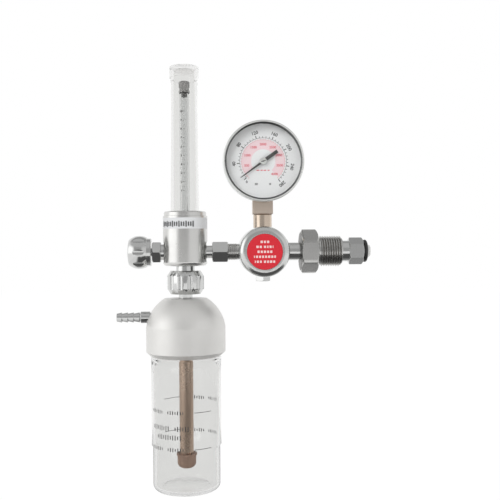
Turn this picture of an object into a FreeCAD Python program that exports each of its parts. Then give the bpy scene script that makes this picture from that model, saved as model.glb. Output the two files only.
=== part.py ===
import FreeCAD, Part
import math
import os
from FreeCAD import Placement, Rotation, Vector

# Oxygen regulator with gauge, flowmeter and humidifier, in millimetres.
# The origin is on the inlet's axis, at the end of the nut's full thread. +X leaves the inlet, +Z is up and
# the front faces -Y.

# Clearances
RUN = 0.08
SEAT = 0.05
SOFT = 0.3
PART_GAP = 0.3

# Places of the main axes
INLET_TO_REGULATOR = 58.2
REGULATOR_TO_FLOWMETER = 58.3
GAUGE_RISE = 66.8

# Inlet nut, which turns on the stem
NUT_THREAD_D = 22.9
NUT_THREAD_L = 14.6
NUT_THREAD_LEAD = 1.4
NUT_RELIEF_D = 21.1
NUT_RELIEF_L = 2.2
NUT_HEX_AF = 29.0
NUT_HEX_L = 13.0

# Stem and nose in the inlet nut
STEM_D = 13.5
STEM_SPIGOT_D = 9.6
STEM_BORE_D = 3.6
NOSE_D = 15.9
NOSE_DEPTH = 4.6
NOSE_REACH = 6.7
NOSE_HEX_AF = 17.7
NOSE_HEX_L = 11.2
NOSE_LIP_L = 0.8
NOSE_LIP_HEIGHT = 0.5
O_RING_D = 17.0
O_RING_WIRE = 3.0
FILTER_D = 9.0
FILTER_L = 5.0
FILTER_PROUD = 1.8

# Screwed ports, common to the regulator and the flowmeter
PORT_D = 10.0
PORT_L = 7.0
PASSAGE_D = 2.4
SPOT_FACE_D = 16.6
SPOT_FACE_DEPTH = 0.8

# Regulator body and bonnet, measured forward from the common plane of the ports
BODY_D = 37.4
BODY_BACK = 12.0
BODY_BACK_CHAMFER = 2.0
BODY_FRONT = 8.8
CHAMBER_D = 26.0
CHAMBER_DEPTH = 2.5
DIAPHRAGM_D = 32.0
DIAPHRAGM_T = 1.0
BONNET_L = 15.2
BONNET_WALL = 5.7
BONNET_FRONT_WALL = 4.0
BONNET_SHOULDER_R = 4.6
BONNET_LAND_W = 1.0
LABEL_RECESS = 0.8

# Spring and valve inside the regulator
PLATE_D = 21.0
PLATE_T = 1.8
BUTTON_D = 18.0
BUTTON_T = 1.6
SCREW_D = 8.0
SCREW_L = 4.4
MAIN_SPRING_D = 17.0
MAIN_SPRING_WIRE = 1.6
MAIN_SPRING_TURNS = 2.2
VALVE_BORE_D = 9.0
VALVE_BORE_L = 9.5
SEAT_T = 3.0
SEAT_HOLE_D = 3.0
VALVE_LIFT = 0.7
POPPET_D = 6.4
POPPET_T = 2.2
POPPET_PIN_D = 1.8
POPPET_SPRING_D = 5.6
POPPET_SPRING_WIRE = 0.8
POPPET_SPRING_TURNS = 2

# Relief valve under the regulator
RELIEF_HEX_AF = 10.5
RELIEF_HEX_L = 4.4
RELIEF_SPIGOT_D = 7.8
RELIEF_SPIGOT_L = 6.0
RELIEF_BORE_D = 5.2
RELIEF_FLOOR = 1.4
RELIEF_POPPET_T = 2.0
RELIEF_SPRING_WIRE = 0.8
RELIEF_SPRING_TURNS = 3

# Union between the regulator and the flowmeter
STUB_D = 12.0
COUPLING_HEX_AF = 15.0
COUPLING_HEX_L = 12.0
COUPLING_COLLAR_L = 4.25
COUPLING_WEB = 5.6
TAIL_D = 9.8
TAIL_SHOULDER_L = 2.6
TAIL_BORE_D = 3.6

# Adapter and square socket of the gauge
ADAPTER_D = 14.0
ADAPTER_L = 9.6
SOCKET_W = 15.0
SOCKET_T = 12.0
SOCKET_STEM_L = 5.5
SOCKET_CHAMFER = 1.0
SOCKET_NECK_W = 12.0
SOCKET_PAD_T = 8.0
SOCKET_PAD_LEFT = 10.5
SOCKET_PAD_RIGHT = 6.0
SOCKET_PAD_TOP = 13.5

# Gauge case, measured forward from the plane of its socket
BEZEL_L = 6.2
BEZEL_LIP_T = 1.3
BEZEL_ROUND = 1.2
CASE_D = 58.0
BEZEL_SKIRT_T = 1.0
BEZEL_LIP_W = 2.7
CASE_WALL = 1.0
CASE_BACK = 7.5
CASE_FRONT = 14.2
CASE_BACK_ROUND = 2.0
GASKET_T = 1.2
GASKET_W = 1.4
LENS_T = 1.8
DIAL_PLANE = 10.9
DIAL_T = 0.7
DIAL_HOLE_D = 3.2

# Gauge movement
BOURDON_R = 20.0
BOURDON_W = 8.0
BOURDON_T = 2.6
BOURDON_WALL = 0.4
BOURDON_START = -115.0
BOURDON_TURN = 265.0
FRAME_T = 1.0
FRAME_GAP = 3.8
PILLAR_D = 2.2
ARBOR_D = 1.1
GEAR_MODULE = 0.3
PINION_TOOTH_COUNT = 12
SECTOR_RATIO = 8
SECTOR_TOOTH_COUNT = 14
SECTOR_SPARE_COUNT = 2
SECTOR_T = 1.0
SECTOR_RIM_W = 2.4
SECTOR_LIFT = 0.6
SECTOR_HUB_D = 4.4
TAIL_R = 6.5
LINK_T = 0.6
LINK_W = 1.6
LINK_PIN_D = 1.0
POINTER_REST = -125.7
POINTER_SWEEP = 261.0
POINTER_L = 20.8
POINTER_TAIL_L = 12.9
POINTER_TAIL_W = 2.6
POINTER_T = 0.4
POINTER_GAP = 1.4
POINTER_BOSS_D = 5.1
POINTER_BOSS_L = 1.8
HAIRSPRING_INNER_R = 1.4
HAIRSPRING_OUTER_R = 4.4
HAIRSPRING_TURNS = 3
HAIRSPRING_T = 0.14
HAIRSPRING_W = 0.7

# Flowmeter body
FLOW_D = 33.3
FLOW_TOP = 27.0
FLOW_BOTTOM = 10.3
FLOW_CORNER_R = 3.0
BAND_TOP = 25.5
BAND_H = 8.1
BAND_T = 0.3
FLOW_CHAMBER_D = 22.0
FLOW_CHAMBER_BOTTOM = 8.0
POST_D = 13.0
POST_TOP = 15.0
POCKET_D = 10.4
POCKET_DEPTH = 4.0

# Outer flow tube and its retaining ring
RING_D = 31.7
RING_H = 3.5
RING_THREAD_D = 27.8
RING_THREAD_L = 5.0
RING_CHAMFER = 0.8
COVER_FLANGE_T = 2.2
COVER_BASE_D = 21.5
COVER_WAIST_D = 19.7
COVER_WAIST_Z = 108.0
COVER_NECK_D = 20.5
COVER_BAND_D = 21.9
COVER_BAND_L = 8.4
COVER_TOP = 139.0
COVER_BORE_D = 16.8
COVER_ROOF_T = 2.6

# Metering tube, float and plug
METER_D = 7.6
METER_TOP = 119.9
METER_THROAT_D = 2.4
METER_THROAT_L = 4.6
METER_BORE_BOTTOM_D = 3.8
METER_BORE_TOP_D = 4.8
BALL_D = 3.5
PLUG_AF = 7.2
PLUG_L = 8.4
PLUG_SPIGOT_L = 3.0

# Needle valve and knob, measured outward from the flowmeter's axis
GLAND_THREAD_L = 7.6
GLAND_NECK_D = 12.0
GLAND_NECK_L = 2.25
GLAND_HEX_AF = 15.0
GLAND_HEX_L = 6.5
SPINDLE_D = 6.0
SPINDLE_GROOVE_D = 3.6
SPINDLE_RING_WIRE = 1.5
NEEDLE_SEAT_D = 2.4
NEEDLE_START = 2.2
NEEDLE_L = 4.0
NEEDLE_CHAMBER_D = 6.0
KNOB_GAP = 0.7
KNOB_COLLAR_D = 20.9
KNOB_COLLAR_L = 3.2
KNOB_D = 25.0
KNOB_SHOULDER_D = 22.0
KNOB_FRONT_D = 19.0
KNOB_L = 18.1
KNOB_CROWN = 1.4
KNOB_FLUTE_COUNT = 8
KNOB_FLUTE_R = 4.2
KNOB_FLUTE_DEPTH = 0.8
KNOB_FLUTE_L = 7.2

# Outlet nipple and hand nut
OUTLET_D = 14.0
OUTLET_L = 12.6
OUTLET_BORE_D = 5.0
HAND_NUT_GAP = 3.6
HAND_NUT_D = 27.8
HAND_NUT_L = 17.4
HAND_NUT_CHAMFER_L = 4.1
HAND_NUT_CHAMFER_W = 2.5
HAND_NUT_FLOOR = 3.1
HAND_NUT_FLUTE_COUNT = 12
HAND_NUT_FLUTE_R = 2.4
HAND_NUT_FLUTE_DEPTH = 0.9
HAND_NUT_FLUTE_L = 11.0

# Humidifier head
SPIGOT_D = 10.4
SPIGOT_HEAD_T = 3.0
SPIGOT_SEAL_T = 1.7
SPIGOT_THREAD_D = 9.0
SPIGOT_THREAD_L = 11.0
SPIGOT_EXPOSED = 3.5
CAP_TOP_D = 33.0
CAP_R = 30.0
CAP_CENTRE_DEPTH = 25.3
CAP_RIM_D = 59.4
CAP_RIM_L = 14.3
CAP_CHAMFER_L = 3.3
CAP_CHAMFER_W = 3.7
CAP_LEDGE_DEPTH = 26.2
CAP_DOME_D = 40.0
CAP_DOME_WIDE_D = 45.0
CAP_DOME_TOP_DEPTH = 9.6
CAP_DOME_TOP_D = 30.0
CAP_POST_D = 15.0
CAP_POST_L = 29.0
DIP_SOCKET_L = 6.0
BARB_DROP = 13.9
BARB_BOSS_D = 12.0
BARB_COLLAR_D = 8.8
BARB_D = 7.8
BARB_ROOT_D = 6.2
BARB_PITCH = 4.4
BARB_COUNT = 4
BARB_REACH = 33.9
BARB_SEAT = 26.6
BARB_THREAD_D = 7.0
BARB_THREAD_L = 9.0
BARB_BORE_D = 4.0

# Dip tube, diffuser and bottle
DIP_TUBE_D = 10.4
DIP_TUBE_BORE_D = 7.0
DIP_TUBE_L = 96.0
DIFFUSER_D = 14.0
DIFFUSER_RIM_D = 15.3
DIFFUSER_RIM_L = 1.5
DIFFUSER_L = 11.0
DIFFUSER_SOCKET_L = 3.0
BOTTLE_SEAL_T = 1.0
BOTTLE_SEAL_W = 2.8
BOTTLE_WALL = 2.0
BOTTLE_NECK_D = 47.0
BOTTLE_NECK_L = 15.4
BOTTLE_D = 52.5
BOTTLE_UPPER_L = 66.0
BOTTLE_LOWER_D = 50.3
BOTTLE_LOWER_L = 33.5
BOTTLE_CORNER_R = 4.0
BOTTLE_SHOULDER_R = 1.3
BOTTLE_STEP_L = 1.2
BOTTLE_FLOOR_T = 2.5
BOTTLE_PUSH_UP = 1.2

# Turn of a hexagon that puts a corner at the top, in degrees
HEX_POINT_UP = 30

# Places that follow from the sizes above
BEZEL_D = CASE_D + 2 * BEZEL_SKIRT_T
WINDOW_D = BEZEL_D - 2 * BEZEL_LIP_W
AXIS_X = Vector(1, 0, 0)
AXIS_LEFT = Vector(-1, 0, 0)
AXIS_FRONT = Vector(0, -1, 0)
AXIS_Z = Vector(0, 0, 1)
AXIS_DOWN = Vector(0, 0, -1)
REGULATOR_X = -INLET_TO_REGULATOR
FLOW_X = REGULATOR_X - REGULATOR_TO_FLOWMETER
ORIGIN = Vector(0, 0, 0)
REGULATOR = Vector(REGULATOR_X, 0, 0)
GAUGE = Vector(REGULATOR_X, 0, GAUGE_RISE)
FLOWMETER = Vector(FLOW_X, 0, 0)
BODY_FACE = BODY_D / 2 - SPOT_FACE_DEPTH
FLOW_FACE = FLOW_D / 2 - SPOT_FACE_DEPTH
BONNET_FRONT = BODY_FRONT + BONNET_L
PINION_R = GEAR_MODULE * PINION_TOOTH_COUNT / 2
SECTOR_R = PINION_R * SECTOR_RATIO
GEAR_CENTRES = PINION_R + SECTOR_R
SECTOR_LEAN = POINTER_SWEEP / SECTOR_RATIO / 2
FRAME_BACK = SOCKET_PAD_T / 2
FRAME_FRONT = FRAME_BACK + FRAME_T + FRAME_GAP
SECTOR_PLANE = FRAME_BACK + FRAME_T + SECTOR_LIFT
LINK_PLANE = SECTOR_PLANE + SECTOR_T + PART_GAP
HAND_NUT_TOP = -FLOW_BOTTOM - HAND_NUT_GAP
HAND_NUT_BOTTOM = HAND_NUT_TOP - HAND_NUT_L
SPIGOT_HEAD_BOTTOM = HAND_NUT_BOTTOM + HAND_NUT_FLOOR + PART_GAP
OUTLET_END = SPIGOT_HEAD_BOTTOM + SPIGOT_HEAD_T + SPIGOT_SEAL_T + SOFT
CAP_TOP = HAND_NUT_BOTTOM - SPIGOT_EXPOSED
CAP_CENTRE = CAP_TOP - CAP_CENTRE_DEPTH
CAP_RIM_END = CAP_CENTRE - CAP_RIM_L
CAP_BOTTOM = CAP_RIM_END - CAP_CHAMFER_L
CAP_LEDGE = CAP_TOP - CAP_LEDGE_DEPTH
CAP_POST_END = CAP_TOP - CAP_POST_L
BARB_Z = CAP_TOP - BARB_DROP
BOTTLE_LIP = CAP_LEDGE - SOFT - BOTTLE_SEAL_T
BOTTLE_SHOULDER = BOTTLE_LIP - BOTTLE_NECK_L
DIP_TUBE_TOP = CAP_POST_END + DIP_SOCKET_L
DIP_TUBE_BOTTOM = DIP_TUBE_TOP - DIP_TUBE_L
DIFFUSER_TOP = DIP_TUBE_BOTTOM + DIFFUSER_SOCKET_L


def turned(outline, origin=ORIGIN, axis=AXIS_Z):
    """Solid turned about an axis. A corner is (along, radius), and a pair is an arc's middle and end."""
    first = outline[0]
    last = first
    edges = []
    for step in list(outline[1:]) + [first]:
        start = Vector(last[1], 0, last[0])
        if isinstance(step[0], tuple):
            middle, end = step
            tip = Vector(end[1], 0, end[0])
            edges.append(Part.Arc(start, Vector(middle[1], 0, middle[0]), tip).toShape())
            last = end
        else:
            tip = Vector(step[1], 0, step[0])
            if start.distanceToPoint(tip) > 1e-6:
                edges.append(Part.makeLine(start, tip))
            last = step
    face = Part.Face(Part.Wire(edges))
    solid = face.revolve(ORIGIN, AXIS_Z, 360)
    solid.Placement = Placement(origin, Rotation(AXIS_Z, axis))
    return solid


def quarter(centre, radius, forward):
    """Middle of a quarter arc about a centre, which rounds the corner at the forward (1) or back (-1) end."""
    share = radius * math.sqrt(0.5)
    return centre[0] + forward * share, centre[1] + share


def cylinder(diameter, start, end, origin=ORIGIN, axis=AXIS_Z):
    """Plain round bar between two places along an axis."""
    low = min(start, end)
    return Part.makeCylinder(diameter / 2, abs(end - start), origin + axis * low, axis)


def passage(start, end, diameter=PASSAGE_D):
    """Drilled gas way between two points."""
    way = end - start
    return Part.makeCylinder(diameter / 2, way.Length, start, way)


def crown_rise(edge_r, rise, radius):
    """Height above its edge of a ball-shaped crown at a radius."""
    ball = (edge_r ** 2 + rise ** 2) / (2 * rise)
    return rise - ball + math.sqrt(ball ** 2 - radius ** 2)


def hexagon(flats, start, end, origin, axis, turn=0.0, soft_start=True, soft_end=True):
    """Hexagonal bar with 30 degree chamfers on the chosen ends."""
    corner = flats / math.sqrt(3)
    points = []
    for index in range(7):
        angle = math.radians(60 * index + turn)
        points.append(Vector(corner * math.cos(angle), corner * math.sin(angle), start))
    bar = Part.Face(Part.makePolygon(points)).extrude(AXIS_Z * (end - start))
    land = flats / 2 * 0.97
    drop = (corner - land) * math.tan(math.radians(30))
    outline = [(start, 0)]
    outline += [(start, land), (start + drop, corner)] if soft_start else [(start, corner)]
    outline += [(end - drop, corner), (end, land)] if soft_end else [(end, corner)]
    outline.append((end, 0))
    bar = bar.common(turned(outline))
    bar.Placement = Placement(origin, Rotation(AXIS_Z, axis))
    return bar


def capsule(radius, start, end, offset, angle, origin, axis):
    """Round-ended bar beside an axis, which cuts a flute."""
    bar = Part.makeCylinder(radius, end - start, Vector(offset, 0, start), AXIS_Z)
    for along in (start, end):
        bar = bar.fuse(Part.makeSphere(radius, Vector(offset, 0, along)))
    bar.rotate(ORIGIN, AXIS_Z, angle)
    bar.Placement = Placement(origin, Rotation(AXIS_Z, axis)).multiply(bar.Placement)
    return bar


def coil(outer_d, wire_d, turns, start, end, origin, axis):
    """Spring of flat-sided wire whose wire just reaches both end planes."""
    low = min(start, end) + wire_d / 2
    height = abs(end - start) - wire_d
    mean = (outer_d - wire_d) / 2
    half = wire_d / 2
    corners = [
        Vector(mean + across * half, 0, up * half)
        for across, up in ((-1, -1), (1, -1), (1, 1), (-1, 1), (-1, -1))
    ]
    helix = Part.makeHelix(height / turns, height, mean)
    spring = Part.Wire(helix.Edges).makePipeShell([Part.makePolygon(corners)], True, True)
    spring.translate(AXIS_Z * low)
    spring.Placement = Placement(origin, Rotation(AXIS_Z, axis)).multiply(spring.Placement)
    return spring


def on_gauge(across, up, forward=0.0):
    """Point from the gauge's middle: across to the right, up, and forward to the front."""
    return GAUGE + Vector(across, -forward, up)


def plate(points, forward, thickness):
    """Flat plate of the gauge movement from (across, up) corners, built towards the front."""
    corners = [on_gauge(across, up, forward) for across, up in points]
    corners.append(corners[0])
    return Part.Face(Part.makePolygon(corners)).extrude(AXIS_FRONT * thickness)


def gauge_pin(diameter, across, up, forward, length):
    """Round pin of the gauge movement, built towards the front."""
    return Part.makeCylinder(diameter / 2, length, on_gauge(across, up, forward), AXIS_FRONT)


def joined(first, *others):
    """Several shapes of one piece fused and cleaned."""
    return first.fuse(list(others)).removeSplitter()


def cut_from(first, *others):
    """One shape with several others cut out of it."""
    return first.cut(list(others)).removeSplitter()


def make_inlet_nut():
    """Hexagon nut with its thread at the open end."""
    relief = -NUT_THREAD_L
    face = relief - NUT_RELIEF_L
    back = face - NUT_HEX_L
    thread_r = NUT_THREAD_D / 2
    spout = turned([
        (back + NUT_RELIEF_L, 0),
        (back + NUT_RELIEF_L, NUT_RELIEF_D / 2),
        (relief, NUT_RELIEF_D / 2),
        (relief + (thread_r - NUT_RELIEF_D / 2), thread_r),
        (0, thread_r),
        (NUT_THREAD_LEAD, thread_r - NUT_THREAD_LEAD),
        (NUT_THREAD_LEAD, 0),
    ], ORIGIN, AXIS_X)
    head = hexagon(NUT_HEX_AF, back, face, ORIGIN, AXIS_X)
    shoulder = -NOSE_DEPTH - PART_GAP
    bore = cylinder(STEM_D + 2 * RUN, back, shoulder, ORIGIN, AXIS_X)
    mouth = cylinder(NOSE_D + 2 * PART_GAP, shoulder, NUT_THREAD_LEAD, ORIGIN, AXIS_X)
    return cut_from(joined(spout, head), bore, mouth)


def make_inlet_stem():
    """Tube from the regulator's port to the nose."""
    start = REGULATOR_X + BODY_FACE
    inside = start - PORT_L
    end = NOSE_REACH - 2.0
    return turned([
        (inside, STEM_BORE_D / 2),
        (inside, PORT_D / 2 - SEAT),
        (start, PORT_D / 2 - SEAT),
        (start, STEM_D / 2),
        (-NOSE_DEPTH, STEM_D / 2),
        (-NOSE_DEPTH, STEM_SPIGOT_D / 2),
        (end, STEM_SPIGOT_D / 2),
        (end, STEM_BORE_D / 2),
    ], ORIGIN, AXIS_X)


def make_inlet_nipple():
    """Nose with a small hexagon, a groove for the ring and a pocket for the filter."""
    hex_end = NOSE_REACH + NOSE_HEX_L
    groove_r = O_RING_D / 2 - O_RING_WIRE
    groove_end = hex_end + O_RING_WIRE
    tip = groove_end + NOSE_LIP_L
    shank = turned([
        (-NOSE_DEPTH, 0),
        (-NOSE_DEPTH, NOSE_D / 2),
        (NOSE_REACH + SEAT, NOSE_D / 2),
        (NOSE_REACH + SEAT, groove_r),
        (groove_end, groove_r),
        (groove_end, groove_r + NOSE_LIP_HEIGHT),
        (tip, groove_r),
        (tip, 0),
    ], ORIGIN, AXIS_X)
    head = hexagon(NOSE_HEX_AF, NOSE_REACH, hex_end, ORIGIN, AXIS_X)
    socket = cylinder(STEM_SPIGOT_D + 2 * SEAT, -NOSE_DEPTH, NOSE_REACH - 1.0, ORIGIN, AXIS_X)
    way = cylinder(STEM_BORE_D, -NOSE_DEPTH, tip, ORIGIN, AXIS_X)
    pocket = cylinder(FILTER_D + 2 * SEAT, tip - (FILTER_L - FILTER_PROUD), tip, ORIGIN, AXIS_X)
    return cut_from(joined(shank, head), socket, way, pocket)


def make_inlet_o_ring():
    """Round rubber ring on the nose."""
    middle = NOSE_REACH + NOSE_HEX_L + O_RING_WIRE / 2
    mean = (O_RING_D - O_RING_WIRE) / 2
    return Part.makeTorus(mean + SEAT, O_RING_WIRE / 2 - SEAT, AXIS_X * middle, AXIS_X)


def make_inlet_filter():
    """Sintered plug in the end of the nose."""
    tip = NOSE_REACH + NOSE_HEX_L + O_RING_WIRE + NOSE_LIP_L
    front = tip + FILTER_PROUD
    back = front - FILTER_L
    lead = 0.8
    return turned([
        (back, 0),
        (back, FILTER_D / 2),
        (front - lead, FILTER_D / 2),
        (front, FILTER_D / 2 - lead),
        (front, 0),
    ], ORIGIN, AXIS_X)


def spot_face(origin, axis, face, reach):
    """Round flat milled where a fitting seats on a curved side."""
    return cylinder(SPOT_FACE_D, face, face + reach, origin, axis)


def screwed_port(origin, axis, face):
    """Tapped hole behind a seating face."""
    return cylinder(PORT_D, face - PORT_L - PART_GAP, face + SPOT_FACE_DEPTH, origin, axis)


def make_regulator_body():
    """Forged body with the diaphragm chamber in front and four ports round it."""
    outer = BODY_D / 2
    recess = BODY_FRONT - DIAPHRAGM_T
    floor = recess - CHAMBER_DEPTH
    body = turned([
        (-BODY_BACK, 0),
        (-BODY_BACK, outer - BODY_BACK_CHAMFER),
        (-BODY_BACK + BODY_BACK_CHAMFER, outer),
        (BODY_FRONT, outer),
        (BODY_FRONT, DIAPHRAGM_D / 2 + SEAT),
        (recess, DIAPHRAGM_D / 2 + SEAT),
        (recess, CHAMBER_D / 2),
        (floor, CHAMBER_D / 2),
        (floor, VALVE_BORE_D / 2),
        (floor - VALVE_BORE_L, VALVE_BORE_D / 2),
        (floor - VALVE_BORE_L, 0),
    ], REGULATOR, AXIS_FRONT)
    cuts = []
    for axis in (AXIS_X, AXIS_LEFT, AXIS_Z):
        cuts.append(screwed_port(REGULATOR, axis, BODY_FACE))
        cuts.append(spot_face(REGULATOR, axis, BODY_FACE, SPOT_FACE_DEPTH * 2))
    bottom = BODY_FACE - RELIEF_SPIGOT_L - PART_GAP
    cuts.append(cylinder(RELIEF_SPIGOT_D + 2 * SEAT, bottom, BODY_D / 2, REGULATOR, AXIS_DOWN))
    cuts.append(spot_face(REGULATOR, AXIS_DOWN, BODY_FACE, SPOT_FACE_DEPTH * 2))
    port_end = BODY_FACE - PORT_L - PART_GAP - 0.5
    high = SEAT_T - floor + VALVE_LIFT + POPPET_T / 2
    low = floor + CHAMBER_DEPTH / 2
    rim = CHAMBER_D / 2 - PASSAGE_D
    cuts.append(passage(REGULATOR + AXIS_X * (port_end + 1), REGULATOR - AXIS_FRONT * high))
    cuts.append(passage(REGULATOR + AXIS_Z * (port_end + 1), REGULATOR - AXIS_FRONT * high))
    left_port = REGULATOR + AXIS_LEFT * (port_end + 2)
    cuts.append(passage(left_port, REGULATOR + AXIS_LEFT * rim + AXIS_FRONT * low))
    low_port = REGULATOR + AXIS_DOWN * (bottom + 1)
    cuts.append(passage(low_port, REGULATOR + AXIS_DOWN * rim + AXIS_FRONT * low, 1.6))
    return cut_from(body, *cuts)


def make_bonnet():
    """Front cover with a rounded shoulder, a spring chamber and a recess for the label."""
    outer = BODY_D / 2
    bend = BONNET_SHOULDER_R
    land = outer - bend
    recess = land - BONNET_LAND_W
    chamber_end = BONNET_FRONT - LABEL_RECESS - BONNET_FRONT_WALL
    return turned([
        (BODY_FRONT, outer - BONNET_WALL),
        (BODY_FRONT, outer),
        (BONNET_FRONT - bend, outer),
        (quarter((BONNET_FRONT - bend, land), bend, 1), (BONNET_FRONT, land)),
        (BONNET_FRONT, recess),
        (BONNET_FRONT - LABEL_RECESS, recess),
        (BONNET_FRONT - LABEL_RECESS, SCREW_D / 2 + SEAT),
        (chamber_end, SCREW_D / 2 + SEAT),
        (chamber_end, outer - BONNET_WALL),
    ], REGULATOR, AXIS_FRONT)


def make_label_disc():
    """Round face plate in the bonnet's recess."""
    radius = BODY_D / 2 - BONNET_SHOULDER_R - BONNET_LAND_W - SEAT
    return cylinder(2 * radius, BONNET_FRONT - LABEL_RECESS, BONNET_FRONT - 0.1, REGULATOR, AXIS_FRONT)


def make_spring_pack():
    """Screw, button, spring and diaphragm with its plate, from the front to the back."""
    screw_front = BONNET_FRONT - LABEL_RECESS - PART_GAP
    screw_back = screw_front - SCREW_L
    screw = cut_from(
        cylinder(SCREW_D, screw_back, screw_front, REGULATOR, AXIS_FRONT),
        hexagon(SCREW_D / 2, screw_back + 1.5, screw_front + 1, REGULATOR, AXIS_FRONT, 0, False, False),
    )
    button_back = screw_back - BUTTON_T
    button = turned([
        (button_back, 0),
        (button_back, BUTTON_D / 2),
        (button_back + BUTTON_T / 2, BUTTON_D / 2),
        (screw_back, BUTTON_D / 4),
        (screw_back, 0),
    ], REGULATOR, AXIS_FRONT)
    plate_back = BODY_FRONT + SOFT
    plate_front = plate_back + PLATE_T
    seat_r = MAIN_SPRING_D / 2 - MAIN_SPRING_WIRE - PART_GAP
    disc = turned([
        (plate_back, 0),
        (plate_back, PLATE_D / 2),
        (plate_front, PLATE_D / 2),
        (plate_front, seat_r),
        (plate_front + 0.6, seat_r - 0.6),
        (plate_front + 0.6, 0),
    ], REGULATOR, AXIS_FRONT)
    return {
        "adjusting_screw": screw,
        "spring_button": button,
        "main_spring": coil(
            MAIN_SPRING_D, MAIN_SPRING_WIRE, MAIN_SPRING_TURNS,
            plate_front, button_back, REGULATOR, AXIS_FRONT
        ),
        "diaphragm_plate": disc,
        "diaphragm": cylinder(DIAPHRAGM_D, BODY_FRONT - DIAPHRAGM_T, BODY_FRONT, REGULATOR, AXIS_FRONT),
    }


def make_valve():
    """Seat, poppet and return spring in the body's bore."""
    recess = BODY_FRONT - DIAPHRAGM_T
    floor = recess - CHAMBER_DEPTH
    seat_back = floor - SEAT_T
    head_front = seat_back - VALVE_LIFT
    head_back = head_front - POPPET_T
    guide_r = POPPET_SPRING_D / 2 - POPPET_SPRING_WIRE - PART_GAP
    seat = turned([
        (seat_back, SEAT_HOLE_D / 2),
        (seat_back, VALVE_BORE_D / 2 - SEAT),
        (floor, VALVE_BORE_D / 2 - SEAT),
        (floor, SEAT_HOLE_D / 2 + 1.0),
        (floor - 1.0, SEAT_HOLE_D / 2),
    ], REGULATOR, AXIS_FRONT)
    poppet = turned([
        (head_back - 1.0, 0),
        (head_back - 1.0, guide_r),
        (head_back, guide_r),
        (head_back, POPPET_D / 2),
        (head_front, POPPET_D / 2),
        (head_front, POPPET_PIN_D / 2),
        (recess - SOFT, POPPET_PIN_D / 2),
        (recess - SOFT, 0),
    ], REGULATOR, AXIS_FRONT)
    return {
        "valve_seat": seat,
        "valve_poppet": poppet,
        "poppet_spring": coil(
            POPPET_SPRING_D,
            POPPET_SPRING_WIRE,
            POPPET_SPRING_TURNS,
            floor - VALVE_BORE_L,
            head_back,
            REGULATOR,
            AXIS_FRONT,
        ),
    }


def make_relief():
    """Relief valve screwed into the underside of the regulator."""
    inside = BODY_FACE - RELIEF_SPIGOT_L
    end = BODY_FACE + RELIEF_HEX_L
    floor = end - RELIEF_FLOOR
    shell = joined(
        cylinder(RELIEF_SPIGOT_D, inside, BODY_FACE + 1, REGULATOR, AXIS_DOWN),
        hexagon(RELIEF_HEX_AF, BODY_FACE, end, REGULATOR, AXIS_DOWN, HEX_POINT_UP, False, True),
    )
    bore = cylinder(RELIEF_BORE_D, inside, floor, REGULATOR, AXIS_DOWN)
    vent = cylinder(PASSAGE_D, floor, end, REGULATOR, AXIS_DOWN)
    poppet_r = RELIEF_BORE_D / 2 - RUN
    poppet_end = inside + RELIEF_POPPET_T
    poppet = turned([
        (inside, 0),
        (inside, poppet_r - 0.6),
        (inside + 0.6, poppet_r),
        (poppet_end, poppet_r),
        (poppet_end, 0),
    ], REGULATOR, AXIS_DOWN)
    spring_d = RELIEF_BORE_D - 2 * PART_GAP
    return {
        "relief_valve": cut_from(shell, bore, vent),
        "relief_poppet": poppet,
        "relief_spring": coil(
            spring_d, RELIEF_SPRING_WIRE, RELIEF_SPRING_TURNS, poppet_end, floor, REGULATOR, AXIS_DOWN
        ),
    }


def make_union():
    """Stub, nut and tail that join the regulator to the flowmeter."""
    tail_start = FLOW_FACE
    nut_start = tail_start + COUPLING_COLLAR_L
    nut_end = nut_start + COUPLING_HEX_L
    web_end = nut_start + COUPLING_WEB
    shoulder_start = web_end + SEAT
    shoulder_end = shoulder_start + TAIL_SHOULDER_L
    thread_r = STUB_D / 2
    tail = turned([
        (tail_start - PORT_L, TAIL_BORE_D / 2),
        (tail_start - PORT_L, PORT_D / 2 - SEAT),
        (tail_start, PORT_D / 2 - SEAT),
        (tail_start, TAIL_D / 2),
        (shoulder_start, TAIL_D / 2),
        (shoulder_start, thread_r - SEAT),
        (shoulder_end, thread_r - SEAT),
        (shoulder_end, TAIL_BORE_D / 2),
    ], FLOWMETER, AXIS_X)
    nut = cut_from(
        hexagon(COUPLING_HEX_AF, nut_start, nut_end, FLOWMETER, AXIS_X, HEX_POINT_UP),
        cylinder(TAIL_D + 2 * SEAT, nut_start, web_end, FLOWMETER, AXIS_X),
        cylinder(STUB_D + 2 * SEAT, web_end, nut_end, FLOWMETER, AXIS_X),
    )
    stub_end = REGULATOR_TO_FLOWMETER - shoulder_end
    stub = turned([
        (BODY_FACE - PORT_L, TAIL_BORE_D / 2),
        (BODY_FACE - PORT_L, PORT_D / 2 - SEAT),
        (BODY_FACE, PORT_D / 2 - SEAT),
        (BODY_FACE, thread_r),
        (stub_end, thread_r),
        (stub_end, TAIL_BORE_D / 2),
    ], REGULATOR, AXIS_LEFT)
    return {"coupling_tail": tail, "coupling_nut": nut, "outlet_stub": stub}


def make_gauge_adapter():
    """Round boss between the regulator's top port and the gauge."""
    top = BODY_FACE + ADAPTER_L
    return turned([
        (BODY_FACE - PORT_L, PASSAGE_D / 2),
        (BODY_FACE - PORT_L, PORT_D / 2 - SEAT),
        (BODY_FACE, PORT_D / 2 - SEAT),
        (BODY_FACE, ADAPTER_D / 2),
        (top, ADAPTER_D / 2),
        (top, PORT_D / 2 + SEAT),
        (top - SOCKET_STEM_L - PART_GAP, PORT_D / 2 + SEAT),
        (top - SOCKET_STEM_L - PART_GAP, PASSAGE_D / 2),
    ], REGULATOR, AXIS_Z)


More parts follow.
